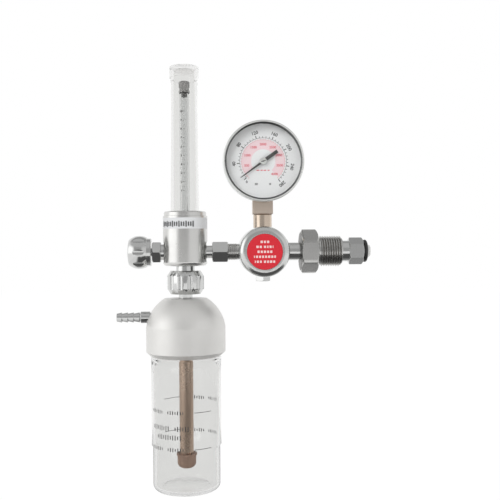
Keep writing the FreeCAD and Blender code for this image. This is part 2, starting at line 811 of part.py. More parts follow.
def bourdon_section(grow):
    """Flat section of the pressure tube with bevelled edges, at its start, wider by grow all round."""
    half_w = BOURDON_W / 2 + grow
    half_t = BOURDON_T / 2 + grow
    flat = half_w - half_t
    corners = [
        Vector(BOURDON_R - half_t, -flat, 0),
        Vector(BOURDON_R - half_t, flat, 0),
        Vector(BOURDON_R, half_w, 0),
        Vector(BOURDON_R + half_t, flat, 0),
        Vector(BOURDON_R + half_t, -flat, 0),
        Vector(BOURDON_R, -half_w, 0),
    ]
    return Part.Face(Part.makePolygon(corners + corners[:1]))


def bourdon_sweep(grow, lead, trail):
    """Pressure tube's curve, longer by lead and trail degrees, as a solid of one outline."""
    face = bourdon_section(grow)
    solid = face.revolve(ORIGIN, Vector(0, 1, 0), BOURDON_TURN + lead + trail)
    start = -BOURDON_START - lead
    solid.Placement = Placement(GAUGE, Rotation(Vector(0, 1, 0), start))
    return solid


def make_bourdon_tube():
    """Curved flat pressure tube of the gauge."""
    return bourdon_sweep(0, 0, 0).cut(bourdon_sweep(-BOURDON_WALL, 1, 1))


def make_gauge_socket():
    """Square block with the screwed stem below and the pad for the movement inside the case."""
    bottom = BODY_FACE + ADAPTER_L - GAUGE_RISE
    stem = Part.makeCylinder(
        PORT_D / 2 - SEAT, SOCKET_STEM_L + SOCKET_CHAMFER, on_gauge(0, bottom - SOCKET_STEM_L), AXIS_Z
    )
    block = Part.makeBox(SOCKET_W, SOCKET_T, -bottom, on_gauge(-SOCKET_W / 2, bottom, SOCKET_T / 2))
    edges = [edge for edge in block.Edges if abs(edge.BoundBox.ZMax - block.BoundBox.ZMin) < 1e-6]
    block = block.makeChamfer(SOCKET_CHAMFER, edges)
    round_case = cylinder(CASE_D + 2 * SEAT, -CASE_BACK * 2, CASE_FRONT * 2, GAUGE, AXIS_FRONT)
    block = block.cut(round_case)
    neck_bottom = -CASE_D / 2 - SOCKET_CHAMFER * 2
    neck = Part.makeBox(
        SOCKET_NECK_W, SOCKET_PAD_T, -neck_bottom - SOCKET_PAD_TOP - 1,
        on_gauge(-SOCKET_NECK_W / 2, neck_bottom, SOCKET_PAD_T / 2),
    )
    pad_bottom = -BOURDON_R - BOURDON_T * 2
    pad = Part.makeBox(
        SOCKET_PAD_LEFT + SOCKET_PAD_RIGHT, SOCKET_PAD_T, -SOCKET_PAD_TOP - pad_bottom,
        on_gauge(-SOCKET_PAD_LEFT, pad_bottom, SOCKET_PAD_T / 2),
    )
    start = math.radians(BOURDON_START)
    mouth = on_gauge(BOURDON_R * math.cos(start), BOURDON_R * math.sin(start))
    ways = [
        passage(on_gauge(0, bottom - SOCKET_STEM_L), on_gauge(0, -BOURDON_R)),
        passage(on_gauge(0, -BOURDON_R - 0.4), mouth),
    ]
    return cut_from(joined(stem, block, neck, pad), bourdon_sweep(SEAT, 0, 0), *ways)


def make_bourdon_tip():
    """Closed end of the pressure tube with the ear that carries the link."""
    end = math.radians(BOURDON_START - BOURDON_TURN)
    across = BOURDON_R * math.cos(end)
    up = BOURDON_R * math.sin(end)
    half = BOURDON_T / 2 + 0.6
    block = Part.makeBox(2 * half, BOURDON_W + 1, 4.0, Vector(-half, -BOURDON_W / 2 - 0.5, -4.0))
    block.Placement = Placement(on_gauge(across, up), Rotation(Vector(0, 1, 0), -math.degrees(end)))
    pin_across, pin_up = tip_pin()
    ear_back = BOURDON_W / 2 - 1.5
    ear = plate([
        (across - 0.5, up - 2.0),
        (across + 0.8, up - 3.4),
        (pin_across + 1.0, pin_up - 1.0),
        (pin_across - 1.0, pin_up + 0.4),
    ], ear_back, LINK_PLANE - ear_back)
    pin = gauge_pin(LINK_PIN_D, pin_across, pin_up, LINK_PLANE - 1.0, LINK_T + 1.4)
    return joined(block, ear, pin).cut(bourdon_sweep(SEAT, 0, 0)).removeSplitter()


def tip_pin():
    """Place of the link's pin on the tube's tip."""
    end = math.radians(BOURDON_START - BOURDON_TURN)
    return BOURDON_R * math.cos(end) - 3.2, BOURDON_R * math.sin(end) - 6.6


def tail_pin():
    """Place of the link's pin on the sector's tail, with the pointer at rest."""
    lean = math.radians(SECTOR_LEAN)
    return -TAIL_R * math.sin(lean), -GEAR_CENTRES - TAIL_R * math.cos(lean)


def make_link():
    """Link from the tube's tip to the sector, with a slot on the sector's pin."""
    near = tail_pin()
    far = tip_pin()
    reach = math.hypot(far[0] - near[0], far[1] - near[1])
    side = ((far[1] - near[1]) / reach * LINK_W / 2, -(far[0] - near[0]) / reach * LINK_W / 2)
    rise = TAIL_R * (1 - math.cos(math.radians(SECTOR_LEAN)))
    bar = plate([
        (near[0] + side[0], near[1] + side[1]),
        (far[0] + side[0], far[1] + side[1]),
        (far[0] - side[0], far[1] - side[1]),
        (near[0] - side[0], near[1] - side[1]),
    ], LINK_PLANE, LINK_T)
    eye_d = LINK_PIN_D + 1.6
    eyes = [
        gauge_pin(eye_d, near[0], near[1], LINK_PLANE, LINK_T),
        gauge_pin(eye_d, near[0], near[1] - rise, LINK_PLANE, LINK_T),
        gauge_pin(eye_d, far[0], far[1], LINK_PLANE, LINK_T),
    ]
    slot_d = LINK_PIN_D + 2 * (RUN + 0.06)
    slot = joined(
        gauge_pin(slot_d, near[0], near[1], LINK_PLANE, LINK_T),
        gauge_pin(slot_d, near[0], near[1] - rise, LINK_PLANE, LINK_T),
        plate([
            (near[0] - slot_d / 2, near[1]),
            (near[0] + slot_d / 2, near[1]),
            (near[0] + slot_d / 2, near[1] - rise),
            (near[0] - slot_d / 2, near[1] - rise),
        ], LINK_PLANE, LINK_T),
    )
    hole = gauge_pin(LINK_PIN_D + 2 * SEAT, far[0], far[1], LINK_PLANE, LINK_T)
    return cut_from(joined(bar, *eyes), slot, hole)


def tooth(centre, pitch_r, teeth, radii):
    """Corners of one involute tooth about (0, 0), its middle at an angle in degrees."""
    base = pitch_r * math.cos(math.radians(20))
    play = 0.03

    def spread(radius):
        if radius <= base:
            return 0.0
        tangent = math.sqrt((radius / base) ** 2 - 1)
        return tangent - math.atan(tangent)

    half_pitch = math.pi / (2 * teeth) - play / pitch_r + spread(pitch_r)
    rising = [(radius, half_pitch - spread(radius)) for radius in radii]
    corners = [(radius, math.radians(centre) + half) for radius, half in rising]
    corners += [(radius, math.radians(centre) - half) for radius, half in reversed(rising)]
    return [(radius * math.cos(angle), radius * math.sin(angle)) for radius, angle in corners]


def make_pinion_shaft():
    """Pinion with its arbor, which carries the pointer."""
    root = PINION_R - 1.1 * GEAR_MODULE
    tip = PINION_R + 0.95 * GEAR_MODULE
    outline = []
    step = 360 / PINION_TOOTH_COUNT
    for index in range(PINION_TOOTH_COUNT):
        centre = -90 - step / 2 - index * step
        outline += tooth(centre, PINION_R, PINION_TOOTH_COUNT, (root, PINION_R, tip))
    wheel = plate(outline, SECTOR_PLANE - PART_GAP, SECTOR_T + 2 * PART_GAP)
    arbor_back = FRAME_BACK + 0.1
    front = DIAL_PLANE + DIAL_T + POINTER_GAP + POINTER_BOSS_L / 2
    arbor = gauge_pin(ARBOR_D, 0, 0, arbor_back, front - arbor_back)
    collar_start = SECTOR_PLANE + SECTOR_T + PART_GAP
    collar = gauge_pin(2 * (HAIRSPRING_INNER_R - SOFT), 0, 0, collar_start, HAIRSPRING_W + PART_GAP)
    return joined(wheel, arbor, collar)


def make_sector_gear():
    """Toothed sector with its arbor, and a tail that the link pulls."""
    pivot = (0, -GEAR_CENTRES)
    step = 360 / (PINION_TOOTH_COUNT * SECTOR_RATIO)
    root = SECTOR_R - 1.35 * GEAR_MODULE
    tip = SECTOR_R + 0.65 * GEAR_MODULE
    inner = root - SECTOR_RIM_W
    outline = []
    angles = [90 + (SECTOR_SPARE_COUNT - index) * step for index in range(SECTOR_TOOTH_COUNT)]
    for angle in angles:
        outline += tooth(angle, SECTOR_R, PINION_TOOTH_COUNT * SECTOR_RATIO, (root, SECTOR_R, tip))
    rim_points = 8
    first = angles[0] + step / 2
    last = angles[-1] - step / 2
    for index in range(rim_points + 1):
        angle = math.radians(last + (first - last) * index / rim_points)
        outline.append((inner * math.cos(angle), inner * math.sin(angle)))
    rim = plate([(u + pivot[0], w + pivot[1]) for u, w in outline], SECTOR_PLANE, SECTOR_T)
    lean = math.radians(90 - SECTOR_LEAN)
    along = (math.cos(lean), math.sin(lean))
    side = (-along[1], along[0])
    reach = inner + SECTOR_RIM_W / 2
    web = plate([
        (pivot[0] + side[0] * 1.6, pivot[1] + side[1] * 1.6),
        (pivot[0] - side[0] * 1.6, pivot[1] - side[1] * 1.6),
        (pivot[0] + along[0] * reach - side[0] * 2.6, pivot[1] + along[1] * reach - side[1] * 2.6),
        (pivot[0] + along[0] * reach + side[0] * 2.6, pivot[1] + along[1] * reach + side[1] * 2.6),
    ], SECTOR_PLANE, SECTOR_T)
    pin_at = tail_pin()
    tail = plate([
        (pivot[0] + side[0] * 1.4, pivot[1] + side[1] * 1.4),
        (pivot[0] - side[0] * 1.4, pivot[1] - side[1] * 1.4),
        (pin_at[0] - side[0] * 0.9, pin_at[1] - side[1] * 0.9),
        (pin_at[0] + side[0] * 0.9, pin_at[1] + side[1] * 0.9),
    ], SECTOR_PLANE, SECTOR_T)
    arbor_back = FRAME_BACK + 0.1
    return joined(
        rim,
        web,
        tail,
        gauge_pin(SECTOR_HUB_D, pivot[0], pivot[1], SECTOR_PLANE, SECTOR_T),
        gauge_pin(ARBOR_D, pivot[0], pivot[1], arbor_back, FRAME_FRONT + FRAME_T - 0.1 - arbor_back),
        gauge_pin(LINK_PIN_D + 1.0, pin_at[0], pin_at[1], SECTOR_PLANE, SECTOR_T),
        gauge_pin(LINK_PIN_D, pin_at[0], pin_at[1], SECTOR_PLANE, SECTOR_T + PART_GAP + LINK_T + 0.2),
    )


def movement_outline():
    """Corners of both movement plates."""
    low = -GEAR_CENTRES
    return [
        (-8.6, 5.4), (-7.0, 6.8), (7.0, 6.8), (8.6, 5.4), (8.6, -3.0),
        (3.2, low - 2.0), (1.6, low - 3.0), (-9.0, low - 5.2), (-10.6, low - 3.6), (-8.6, -3.0),
    ]


def pillar_places():
    """Middles of the three pillars between the movement plates."""
    return [(-6.5, 3.6), (6.5, 3.6), (-8.2, -GEAR_CENTRES - 3.0)]


def movement_bearings(forward):
    """Holes for the two arbors in a movement plate."""
    hole = ARBOR_D + 2 * RUN
    return [
        gauge_pin(hole, 0, 0, forward, FRAME_T),
        gauge_pin(hole, 0, -GEAR_CENTRES, forward, FRAME_T),
    ]


def make_movement():
    """Back frame with its pillars, and the front plate on them."""
    frame = plate(movement_outline(), FRAME_BACK, FRAME_T)
    posts = []
    for across, up in pillar_places():
        posts.append(gauge_pin(PILLAR_D, across, up, FRAME_BACK, FRAME_FRONT - FRAME_BACK))
        reach = DIAL_PLANE if up > 0 else FRAME_FRONT + FRAME_T
        posts.append(gauge_pin(PILLAR_D / 2, across, up, FRAME_FRONT, reach - FRAME_FRONT))
    frame = cut_from(joined(frame, *posts), *movement_bearings(FRAME_BACK))
    holes = [
        gauge_pin(PILLAR_D / 2 + 2 * SEAT, across, up, FRAME_FRONT, FRAME_T)
        for across, up in pillar_places()
    ]
    blank = plate(movement_outline(), FRAME_FRONT, FRAME_T)
    front = cut_from(blank, *holes, *movement_bearings(FRAME_FRONT))
    return {"movement_frame": frame, "movement_plate": front}


def make_hairspring():
    """Spiral strip round the pinion's collar."""
    steps = HAIRSPRING_TURNS * 12
    growth = (HAIRSPRING_OUTER_R - HAIRSPRING_INNER_R) / steps
    inner = []
    outer = []
    for index in range(steps + 1):
        angle = math.radians(index * 30)
        radius = HAIRSPRING_INNER_R + growth * index
        inner.append((radius * math.cos(angle), radius * math.sin(angle)))
        radius += HAIRSPRING_T
        outer.append((radius * math.cos(angle), radius * math.sin(angle)))
    start = SECTOR_PLANE + SECTOR_T + 2 * PART_GAP
    return plate(inner + outer[::-1], start, HAIRSPRING_W)


def make_pointer():
    """Pointer with its tail and slotted boss, at its place of rest."""
    back = DIAL_PLANE + DIAL_T + POINTER_GAP
    half = POINTER_TAIL_W / 2
    blade = plate([
        (-0.25, POINTER_L), (0.25, POINTER_L), (0.9, 0), (half, -3.0), (half, -POINTER_TAIL_L),
        (-half, -POINTER_TAIL_L), (-half, -3.0), (-0.9, 0),
    ], back, POINTER_T)
    boss = turned([
        (back - 0.5, 0),
        (back - 0.5, POINTER_BOSS_D / 2 - 0.4),
        (back, POINTER_BOSS_D / 2),
        (back - 0.5 + POINTER_BOSS_L - 0.4, POINTER_BOSS_D / 2),
        (back - 0.5 + POINTER_BOSS_L, POINTER_BOSS_D / 2 - 0.4),
        (back - 0.5 + POINTER_BOSS_L, 0),
    ], GAUGE, AXIS_FRONT)
    slot = plate([
        (-POINTER_BOSS_D, -0.35), (POINTER_BOSS_D, -0.35), (POINTER_BOSS_D, 0.35), (-POINTER_BOSS_D, 0.35),
    ], back - 0.5 + POINTER_BOSS_L - 0.5, 1.0)
    hole = gauge_pin(ARBOR_D + 2 * SEAT, 0, 0, back - 1, POINTER_BOSS_L / 2 + 1 + SEAT)
    pointer = cut_from(joined(blade, boss), slot, hole)
    pointer.rotate(GAUGE, Vector(0, 1, 0), POINTER_REST)
    return pointer


def make_gauge_case():
    """Pressed cup of the gauge with a slot for the socket's neck."""
    outer = CASE_D / 2
    inner = outer - CASE_WALL
    bend = CASE_BACK_ROUND
    cup = turned([
        (-CASE_BACK, 0),
        (-CASE_BACK, outer - bend),
        (quarter((-CASE_BACK + bend, outer - bend), bend, -1), (-CASE_BACK + bend, outer)),
        (CASE_FRONT, outer),
        (CASE_FRONT, inner),
        (-CASE_BACK + bend, inner),
        (-CASE_BACK + CASE_WALL, outer - bend),
        (-CASE_BACK + CASE_WALL, 0),
    ], GAUGE, AXIS_FRONT)
    slot = Part.makeBox(
        SOCKET_NECK_W + 2 * SEAT, SOCKET_PAD_T + 2 * SEAT, CASE_D / 2,
        on_gauge(-SOCKET_NECK_W / 2 - SEAT, -CASE_D / 2 - 1, SOCKET_PAD_T / 2 + SEAT),
    )
    return cut_from(cup, slot)


def make_gauge_front():
    """Bezel, lens, gasket and dial of the gauge."""
    outer = BEZEL_D / 2
    skirt = CASE_D / 2 + SEAT
    window = WINDOW_D / 2
    lens_back = CASE_FRONT + GASKET_T
    lens_front = lens_back + LENS_T
    front = lens_front + BEZEL_LIP_T
    bend = BEZEL_ROUND
    bezel = turned([
        (front - BEZEL_L, skirt),
        (front - BEZEL_L, outer),
        (front - bend, outer),
        (quarter((front - bend, outer - bend), bend, 1), (front, outer - bend)),
        (front, window + 0.4),
        (lens_front, window),
        (lens_front, skirt),
    ], GAUGE, AXIS_FRONT)
    lens = cylinder(CASE_D - 2 * SEAT, lens_back, lens_front, GAUGE, AXIS_FRONT)
    gasket = turned([
        (CASE_FRONT, CASE_D / 2 - GASKET_W),
        (CASE_FRONT, CASE_D / 2 - SEAT),
        (lens_back, CASE_D / 2 - SEAT),
        (lens_back, CASE_D / 2 - GASKET_W),
    ], GAUGE, AXIS_FRONT)
    dial = turned([
        (DIAL_PLANE, DIAL_HOLE_D / 2),
        (DIAL_PLANE, CASE_D / 2 - CASE_WALL - SEAT),
        (DIAL_PLANE + DIAL_T, CASE_D / 2 - CASE_WALL - SEAT),
        (DIAL_PLANE + DIAL_T, DIAL_HOLE_D / 2),
    ], GAUGE, AXIS_FRONT)
    return {"gauge_bezel": bezel, "gauge_lens": lens, "lens_gasket": gasket, "gauge_dial": dial}


def make_flowmeter_body():
    """Turned body with a chamber above, ports at both sides and an outlet below."""
    outer = FLOW_D / 2
    bend = FLOW_CORNER_R
    ring_floor = FLOW_TOP - RING_THREAD_L
    flange_floor = ring_floor - COVER_FLANGE_T
    pocket = POST_TOP - POCKET_DEPTH
    body = turned([
        (-FLOW_BOTTOM, 0),
        (-FLOW_BOTTOM, outer - bend),
        (quarter((-FLOW_BOTTOM + bend, outer - bend), bend, -1), (-FLOW_BOTTOM + bend, outer)),
        (BAND_TOP - BAND_H, outer),
        (BAND_TOP - BAND_H, outer - BAND_T),
        (BAND_TOP, outer - BAND_T),
        (BAND_TOP, outer),
        (FLOW_TOP, outer),
        (FLOW_TOP, RING_THREAD_D / 2 + SEAT),
        (flange_floor, RING_THREAD_D / 2 + SEAT),
        (flange_floor, FLOW_CHAMBER_D / 2),
        (FLOW_CHAMBER_BOTTOM, FLOW_CHAMBER_D / 2),
        (FLOW_CHAMBER_BOTTOM, POST_D / 2),
        (POST_TOP, POST_D / 2),
        (POST_TOP, POCKET_D / 2 + SEAT),
        (pocket, POCKET_D / 2 + SEAT),
        (pocket, 0),
    ], FLOWMETER)
    outlet_floor = -FLOW_BOTTOM + PORT_L - 2.0
    chamber_mid = (FLOW_CHAMBER_D + POST_D) / 4
    cuts = [
        spot_face(FLOWMETER, AXIS_X, FLOW_FACE, SPOT_FACE_DEPTH * 2),
        spot_face(FLOWMETER, AXIS_LEFT, FLOW_FACE, SPOT_FACE_DEPTH * 2),
        screwed_port(FLOWMETER, AXIS_X, FLOW_FACE),
        cylinder(PORT_D, FLOW_FACE - GLAND_THREAD_L - PART_GAP, FLOW_FACE + 1, FLOWMETER, AXIS_LEFT),
        cylinder(NEEDLE_CHAMBER_D, NEEDLE_START, FLOW_FACE, FLOWMETER, AXIS_LEFT),
        cylinder(NEEDLE_SEAT_D, -FLOW_FACE + PORT_L - 1, NEEDLE_START + 1, FLOWMETER, AXIS_LEFT),
        passage(FLOWMETER + AXIS_LEFT * (NEEDLE_START + 2), FLOWMETER + AXIS_Z * (pocket + 0.5)),
        cylinder(PORT_D, -FLOW_BOTTOM, outlet_floor, FLOWMETER),
        passage(
            FLOWMETER + Vector(0, 2, outlet_floor - 1),
            FLOWMETER + Vector(0, chamber_mid, FLOW_CHAMBER_BOTTOM + 1),
        ),
    ]
    return cut_from(body, *cuts)


def make_name_band():
    """Plain printed band in a shallow groove of the flowmeter body."""
    outer = FLOW_D / 2
    return turned([
        (BAND_TOP - BAND_H, outer - BAND_T),
        (BAND_TOP - BAND_H, outer),
        (BAND_TOP, outer),
        (BAND_TOP, outer - BAND_T),
    ], FLOWMETER)


def make_tube_retaining_ring():
    """Screwed ring that holds the outer tube's flange down."""
    bore = COVER_BASE_D / 2 + SEAT
    top = FLOW_TOP + RING_H
    return turned([
        (FLOW_TOP - RING_THREAD_L, bore),
        (FLOW_TOP - RING_THREAD_L, RING_THREAD_D / 2),
        (FLOW_TOP, RING_THREAD_D / 2),
        (FLOW_TOP, RING_D / 2),
        (top - RING_CHAMFER, RING_D / 2),
        (top, RING_D / 2 - RING_CHAMFER),
        (top, bore),
    ], FLOWMETER)


def make_flow_tube_cover():
    """Clear outer tube, closed at the top, with a flange at its foot."""
    flange_top = FLOW_TOP - RING_THREAD_L
    flange_floor = flange_top - COVER_FLANGE_T
    band = COVER_TOP - COVER_BAND_L
    bore = COVER_BORE_D / 2
    return turned([
        (flange_floor, bore),
        (flange_floor, RING_THREAD_D / 2 - SEAT),
        (flange_top, RING_THREAD_D / 2 - SEAT),
        (flange_top, COVER_BASE_D / 2),
        (FLOW_TOP + RING_H, COVER_BASE_D / 2),
        (COVER_WAIST_Z, COVER_WAIST_D / 2),
        (band, COVER_NECK_D / 2),
        (band, COVER_BAND_D / 2),
        (COVER_TOP - 0.6, COVER_BAND_D / 2),
        (COVER_TOP, COVER_BAND_D / 2 - 0.6),
        (COVER_TOP, 0),
        (COVER_TOP - COVER_ROOF_T, 0),
        (COVER_TOP - COVER_ROOF_T, bore - 1.0),
        (COVER_TOP - COVER_ROOF_T - 1.0, bore),
    ], FLOWMETER)


def make_metering_set():
    """Inner tube with its taper bore, its foot seal, the float and the plug on top."""
    foot = POST_TOP - POCKET_DEPTH
    throat_top = foot + METER_THROAT_L
    tube = turned([
        (foot, METER_THROAT_D / 2),
        (foot, METER_D / 2),
        (METER_TOP, METER_D / 2),
        (METER_TOP, METER_BORE_TOP_D / 2),
        (throat_top, METER_BORE_BOTTOM_D / 2),
        (throat_top, METER_THROAT_D / 2),
    ], FLOWMETER)
    seal = turned([
        (foot, METER_D / 2 + SEAT),
        (foot, POCKET_D / 2),
        (POST_TOP - 0.4, POCKET_D / 2),
        (POST_TOP - 0.4, METER_D / 2 + SEAT),
    ], FLOWMETER)
    rest = math.sqrt(BALL_D ** 2 - METER_THROAT_D ** 2) / 2 + 0.02
    ball = Part.makeSphere(BALL_D / 2, FLOWMETER + AXIS_Z * (throat_top + rest))
    plug = joined(
        hexagon(PLUG_AF, METER_TOP, METER_TOP + PLUG_L, FLOWMETER, AXIS_Z, 0, False, True),
        cylinder(METER_BORE_TOP_D - 4 * SEAT, METER_TOP - PLUG_SPIGOT_L, METER_TOP + 1, FLOWMETER),
    )
    middle = FLOWMETER + AXIS_Z * (METER_TOP + PLUG_L / 3)
    plug = cut_from(
        plug,
        Part.makeCylinder(PASSAGE_D / 2, PLUG_AF * 2, middle - AXIS_X * PLUG_AF, AXIS_X),
        cylinder(PASSAGE_D, METER_TOP - PLUG_SPIGOT_L, METER_TOP + PLUG_L / 3, FLOWMETER),
    )
    return {"metering_tube": tube, "tube_seal_ring": seal, "float_ball": ball, "tube_plug": plug}


def gland_end():
    """Outer face of the gland's hexagon, from the flowmeter's axis."""
    return FLOW_FACE + GLAND_NECK_L + GLAND_HEX_L


def ring_middle():
    """Middle of the spindle's sealing ring, from the flowmeter's axis."""
    return FLOW_FACE - GLAND_THREAD_L + 3.4


def make_needle_valve():
    """Gland, spindle with its needle, and the sealing ring in its groove."""
    start = FLOW_FACE - GLAND_THREAD_L
    neck_end = FLOW_FACE + GLAND_NECK_L
    end = gland_end()
    gland = joined(
        cylinder(PORT_D - 2 * SEAT, start, FLOW_FACE + 0.5, FLOWMETER, AXIS_LEFT),
        cylinder(GLAND_NECK_D, FLOW_FACE, neck_end + 0.5, FLOWMETER, AXIS_LEFT),
        hexagon(GLAND_HEX_AF, neck_end, end, FLOWMETER, AXIS_LEFT, HEX_POINT_UP),
    )
    gland = cut_from(gland, cylinder(SPINDLE_D + 2 * RUN, start, end, FLOWMETER, AXIS_LEFT))
    knob_mouth = end + KNOB_GAP + KNOB_L - KNOB_CROWN - 4.0
    groove = ring_middle()
    half = SPINDLE_RING_WIRE / 2 + PART_GAP
    needle_end = NEEDLE_START + NEEDLE_L
    stem_r = NEEDLE_CHAMBER_D / 2 - 0.6
    spindle = turned([
        (NEEDLE_START, 0),
        (NEEDLE_START, NEEDLE_SEAT_D / 2 - 0.7),
        (needle_end, stem_r),
        (start + PART_GAP, stem_r),
        (start + PART_GAP, SPINDLE_D / 2),
        (groove - half, SPINDLE_D / 2),
        (groove - half, SPINDLE_GROOVE_D / 2),
        (groove + half, SPINDLE_GROOVE_D / 2),
        (groove + half, SPINDLE_D / 2),
        (knob_mouth, SPINDLE_D / 2),
        (knob_mouth, 0),
    ], FLOWMETER, AXIS_LEFT)
    wire_r = (SPINDLE_D - SPINDLE_GROOVE_D) / 4 - RUN
    ring = Part.makeTorus(
        (SPINDLE_D + SPINDLE_GROOVE_D) / 4, wire_r, FLOWMETER + AXIS_LEFT * groove, AXIS_LEFT
    )
    return {"valve_gland": gland, "needle_spindle": spindle, "spindle_o_ring": ring}


def make_flow_knob():
    """Barrel-shaped knob with rounded flutes and a crowned front."""
    back = gland_end() + KNOB_GAP
    barrel = back + KNOB_COLLAR_L
    front = back + KNOB_L
    edge = front - KNOB_CROWN
    middle = (barrel + edge) / 2
    crown = crown_rise(KNOB_FRONT_D / 2, KNOB_CROWN, KNOB_FRONT_D / 4)
    knob = turned([
        (back, 0),
        (back, KNOB_COLLAR_D / 2 - 0.5),
        (back + 0.5, KNOB_COLLAR_D / 2),
        (barrel, KNOB_COLLAR_D / 2),
        (barrel, KNOB_SHOULDER_D / 2),
        ((middle - 1.0, KNOB_D / 2), (edge, KNOB_FRONT_D / 2)),
        ((edge + crown, KNOB_FRONT_D / 4), (front, 0)),
    ], FLOWMETER, AXIS_LEFT)
    offset = KNOB_D / 2 + KNOB_FLUTE_R - KNOB_FLUTE_DEPTH
    first = middle - 0.6 - KNOB_FLUTE_L / 2
    pitch = 360 / KNOB_FLUTE_COUNT
    flutes = [
        capsule(KNOB_FLUTE_R, first, first + KNOB_FLUTE_L, offset, index * pitch, FLOWMETER, AXIS_LEFT)
        for index in range(KNOB_FLUTE_COUNT)
    ]
    mouth = front - KNOB_CROWN - 4.0
    bore = cylinder(SPINDLE_D + 2 * SEAT, back, mouth + SEAT, FLOWMETER, AXIS_LEFT)
    return cut_from(knob, bore, *flutes)


def make_outlet_nipple():
    """Threaded outlet under the flowmeter."""
    inside = -FLOW_BOTTOM + PORT_L - 2.0 - PART_GAP
    bore = OUTLET_BORE_D / 2
    return turned([
        (inside, bore),
        (inside, PORT_D / 2 - SEAT),
        (-FLOW_BOTTOM, PORT_D / 2 - SEAT),
        (-FLOW_BOTTOM, OUTLET_D / 2),
        (OUTLET_END + 0.8, OUTLET_D / 2),
        (OUTLET_END, OUTLET_D / 2 - 0.8),
        (OUTLET_END, bore),
    ], FLOWMETER)


def make_hand_nut():
    """Fluted nut that draws the humidifier up to the outlet."""
    outer = HAND_NUT_D / 2
    rim = outer - HAND_NUT_CHAMFER_W
    floor = HAND_NUT_BOTTOM + HAND_NUT_FLOOR
    nut = turned([
        (HAND_NUT_BOTTOM, SPIGOT_D / 2 + RUN),
        (HAND_NUT_BOTTOM, rim),
        (HAND_NUT_BOTTOM + HAND_NUT_CHAMFER_L, outer),
        (HAND_NUT_TOP - HAND_NUT_CHAMFER_L, outer),
        (HAND_NUT_TOP, rim),
        (HAND_NUT_TOP, OUTLET_D / 2 + RUN),
        (floor, OUTLET_D / 2 + RUN),
        (floor, SPIGOT_D / 2 + RUN),
    ], FLOWMETER)
    offset = outer + HAND_NUT_FLUTE_R - HAND_NUT_FLUTE_DEPTH
    middle = (HAND_NUT_TOP + HAND_NUT_BOTTOM) / 2
    half = HAND_NUT_FLUTE_L / 2 - 1.2
    pitch = 360 / HAND_NUT_FLUTE_COUNT
    flutes = [
        capsule(
            HAND_NUT_FLUTE_R, middle - half, middle + half, offset,
            (index + 0.5) * pitch, FLOWMETER, AXIS_Z,
        )
        for index in range(HAND_NUT_FLUTE_COUNT)
    ]
    return cut_from(nut, *flutes)


def make_humidifier_spigot():
    """Headed tube that hangs in the hand nut, and the washer on its head."""
    head_top = SPIGOT_HEAD_BOTTOM + SPIGOT_HEAD_T
    head_r = OUTLET_D / 2 - PART_GAP
    bore = OUTLET_BORE_D / 2
    end = CAP_TOP - SPIGOT_THREAD_L
    spigot = turned([
        (end, bore),
        (end, SPIGOT_THREAD_D / 2),
        (CAP_TOP, SPIGOT_THREAD_D / 2),
        (CAP_TOP, SPIGOT_D / 2),
        (SPIGOT_HEAD_BOTTOM, SPIGOT_D / 2),
        (SPIGOT_HEAD_BOTTOM, head_r),
        (head_top, head_r),
        (head_top, bore),
    ], FLOWMETER)
    seal = turned([
        (head_top, bore),
        (head_top, head_r),
        (head_top + SPIGOT_SEAL_T, head_r),
        (head_top + SPIGOT_SEAL_T, bore),
    ], FLOWMETER)
    return {"humidifier_spigot": spigot, "spigot_seal": seal}


def make_humidifier_cap():
    """Domed cap with a post for the dip tube and a boss for the hose barb."""
    top_r = CAP_TOP_D / 2
    rim_r = CAP_RIM_D / 2
    steep = math.radians(45)
    shoulder = (CAP_CENTRE + CAP_R * math.sin(steep), CAP_R * math.cos(steep))
    touch = CAP_CENTRE + math.sqrt(CAP_R ** 2 - top_r ** 2)
    side = CAP_CENTRE + math.sqrt(CAP_R ** 2 - rim_r ** 2)
    neck_r = BOTTLE_NECK_D / 2 + PART_GAP + 0.1
    dome_top = CAP_TOP - CAP_DOME_TOP_DEPTH
    dome_r = CAP_DOME_WIDE_D / 2
    dome_bend = ((dome_top + CAP_LEDGE) / 2 + 1.0, dome_r)
    cap = turned([
        (CAP_TOP, 0),
        (CAP_TOP, top_r - 0.4),
        (touch, top_r),
        (shoulder, (side, rim_r)),
        (CAP_RIM_END, rim_r),
        (CAP_BOTTOM, rim_r - CAP_CHAMFER_W),
        (CAP_BOTTOM, neck_r),
        (CAP_LEDGE, neck_r),
        (CAP_LEDGE, CAP_DOME_D / 2),
        (dome_bend, (dome_top, CAP_DOME_TOP_D / 2)),
        (dome_top, 0),
    ], FLOWMETER)
    post = cylinder(CAP_POST_D, CAP_POST_END, CAP_TOP - 1, FLOWMETER)
    barb_axis = FLOWMETER + AXIS_Z * BARB_Z
    boss = cylinder(BARB_BOSS_D, BARB_SEAT - BARB_THREAD_L - 2, BARB_SEAT - 3, barb_axis, AXIS_LEFT)
    hole_end = CAP_TOP - SPIGOT_THREAD_L - PART_GAP
    spigot_hole = cylinder(SPIGOT_THREAD_D + 2 * SEAT, hole_end, CAP_TOP, FLOWMETER)
    way = cylinder(OUTLET_BORE_D, CAP_POST_END, CAP_TOP, FLOWMETER)
    socket = cylinder(DIP_TUBE_D + 2 * SEAT, CAP_POST_END, DIP_TUBE_TOP, FLOWMETER)
    seat = cylinder(BARB_COLLAR_D + 1, BARB_SEAT, CAP_R + 2, barb_axis, AXIS_LEFT)
    thread = cylinder(BARB_THREAD_D + 2 * SEAT, BARB_SEAT - BARB_THREAD_L - 2, CAP_R, barb_axis, AXIS_LEFT)
    return cut_from(joined(cap, post, boss), spigot_hole, way, socket, seat, thread)


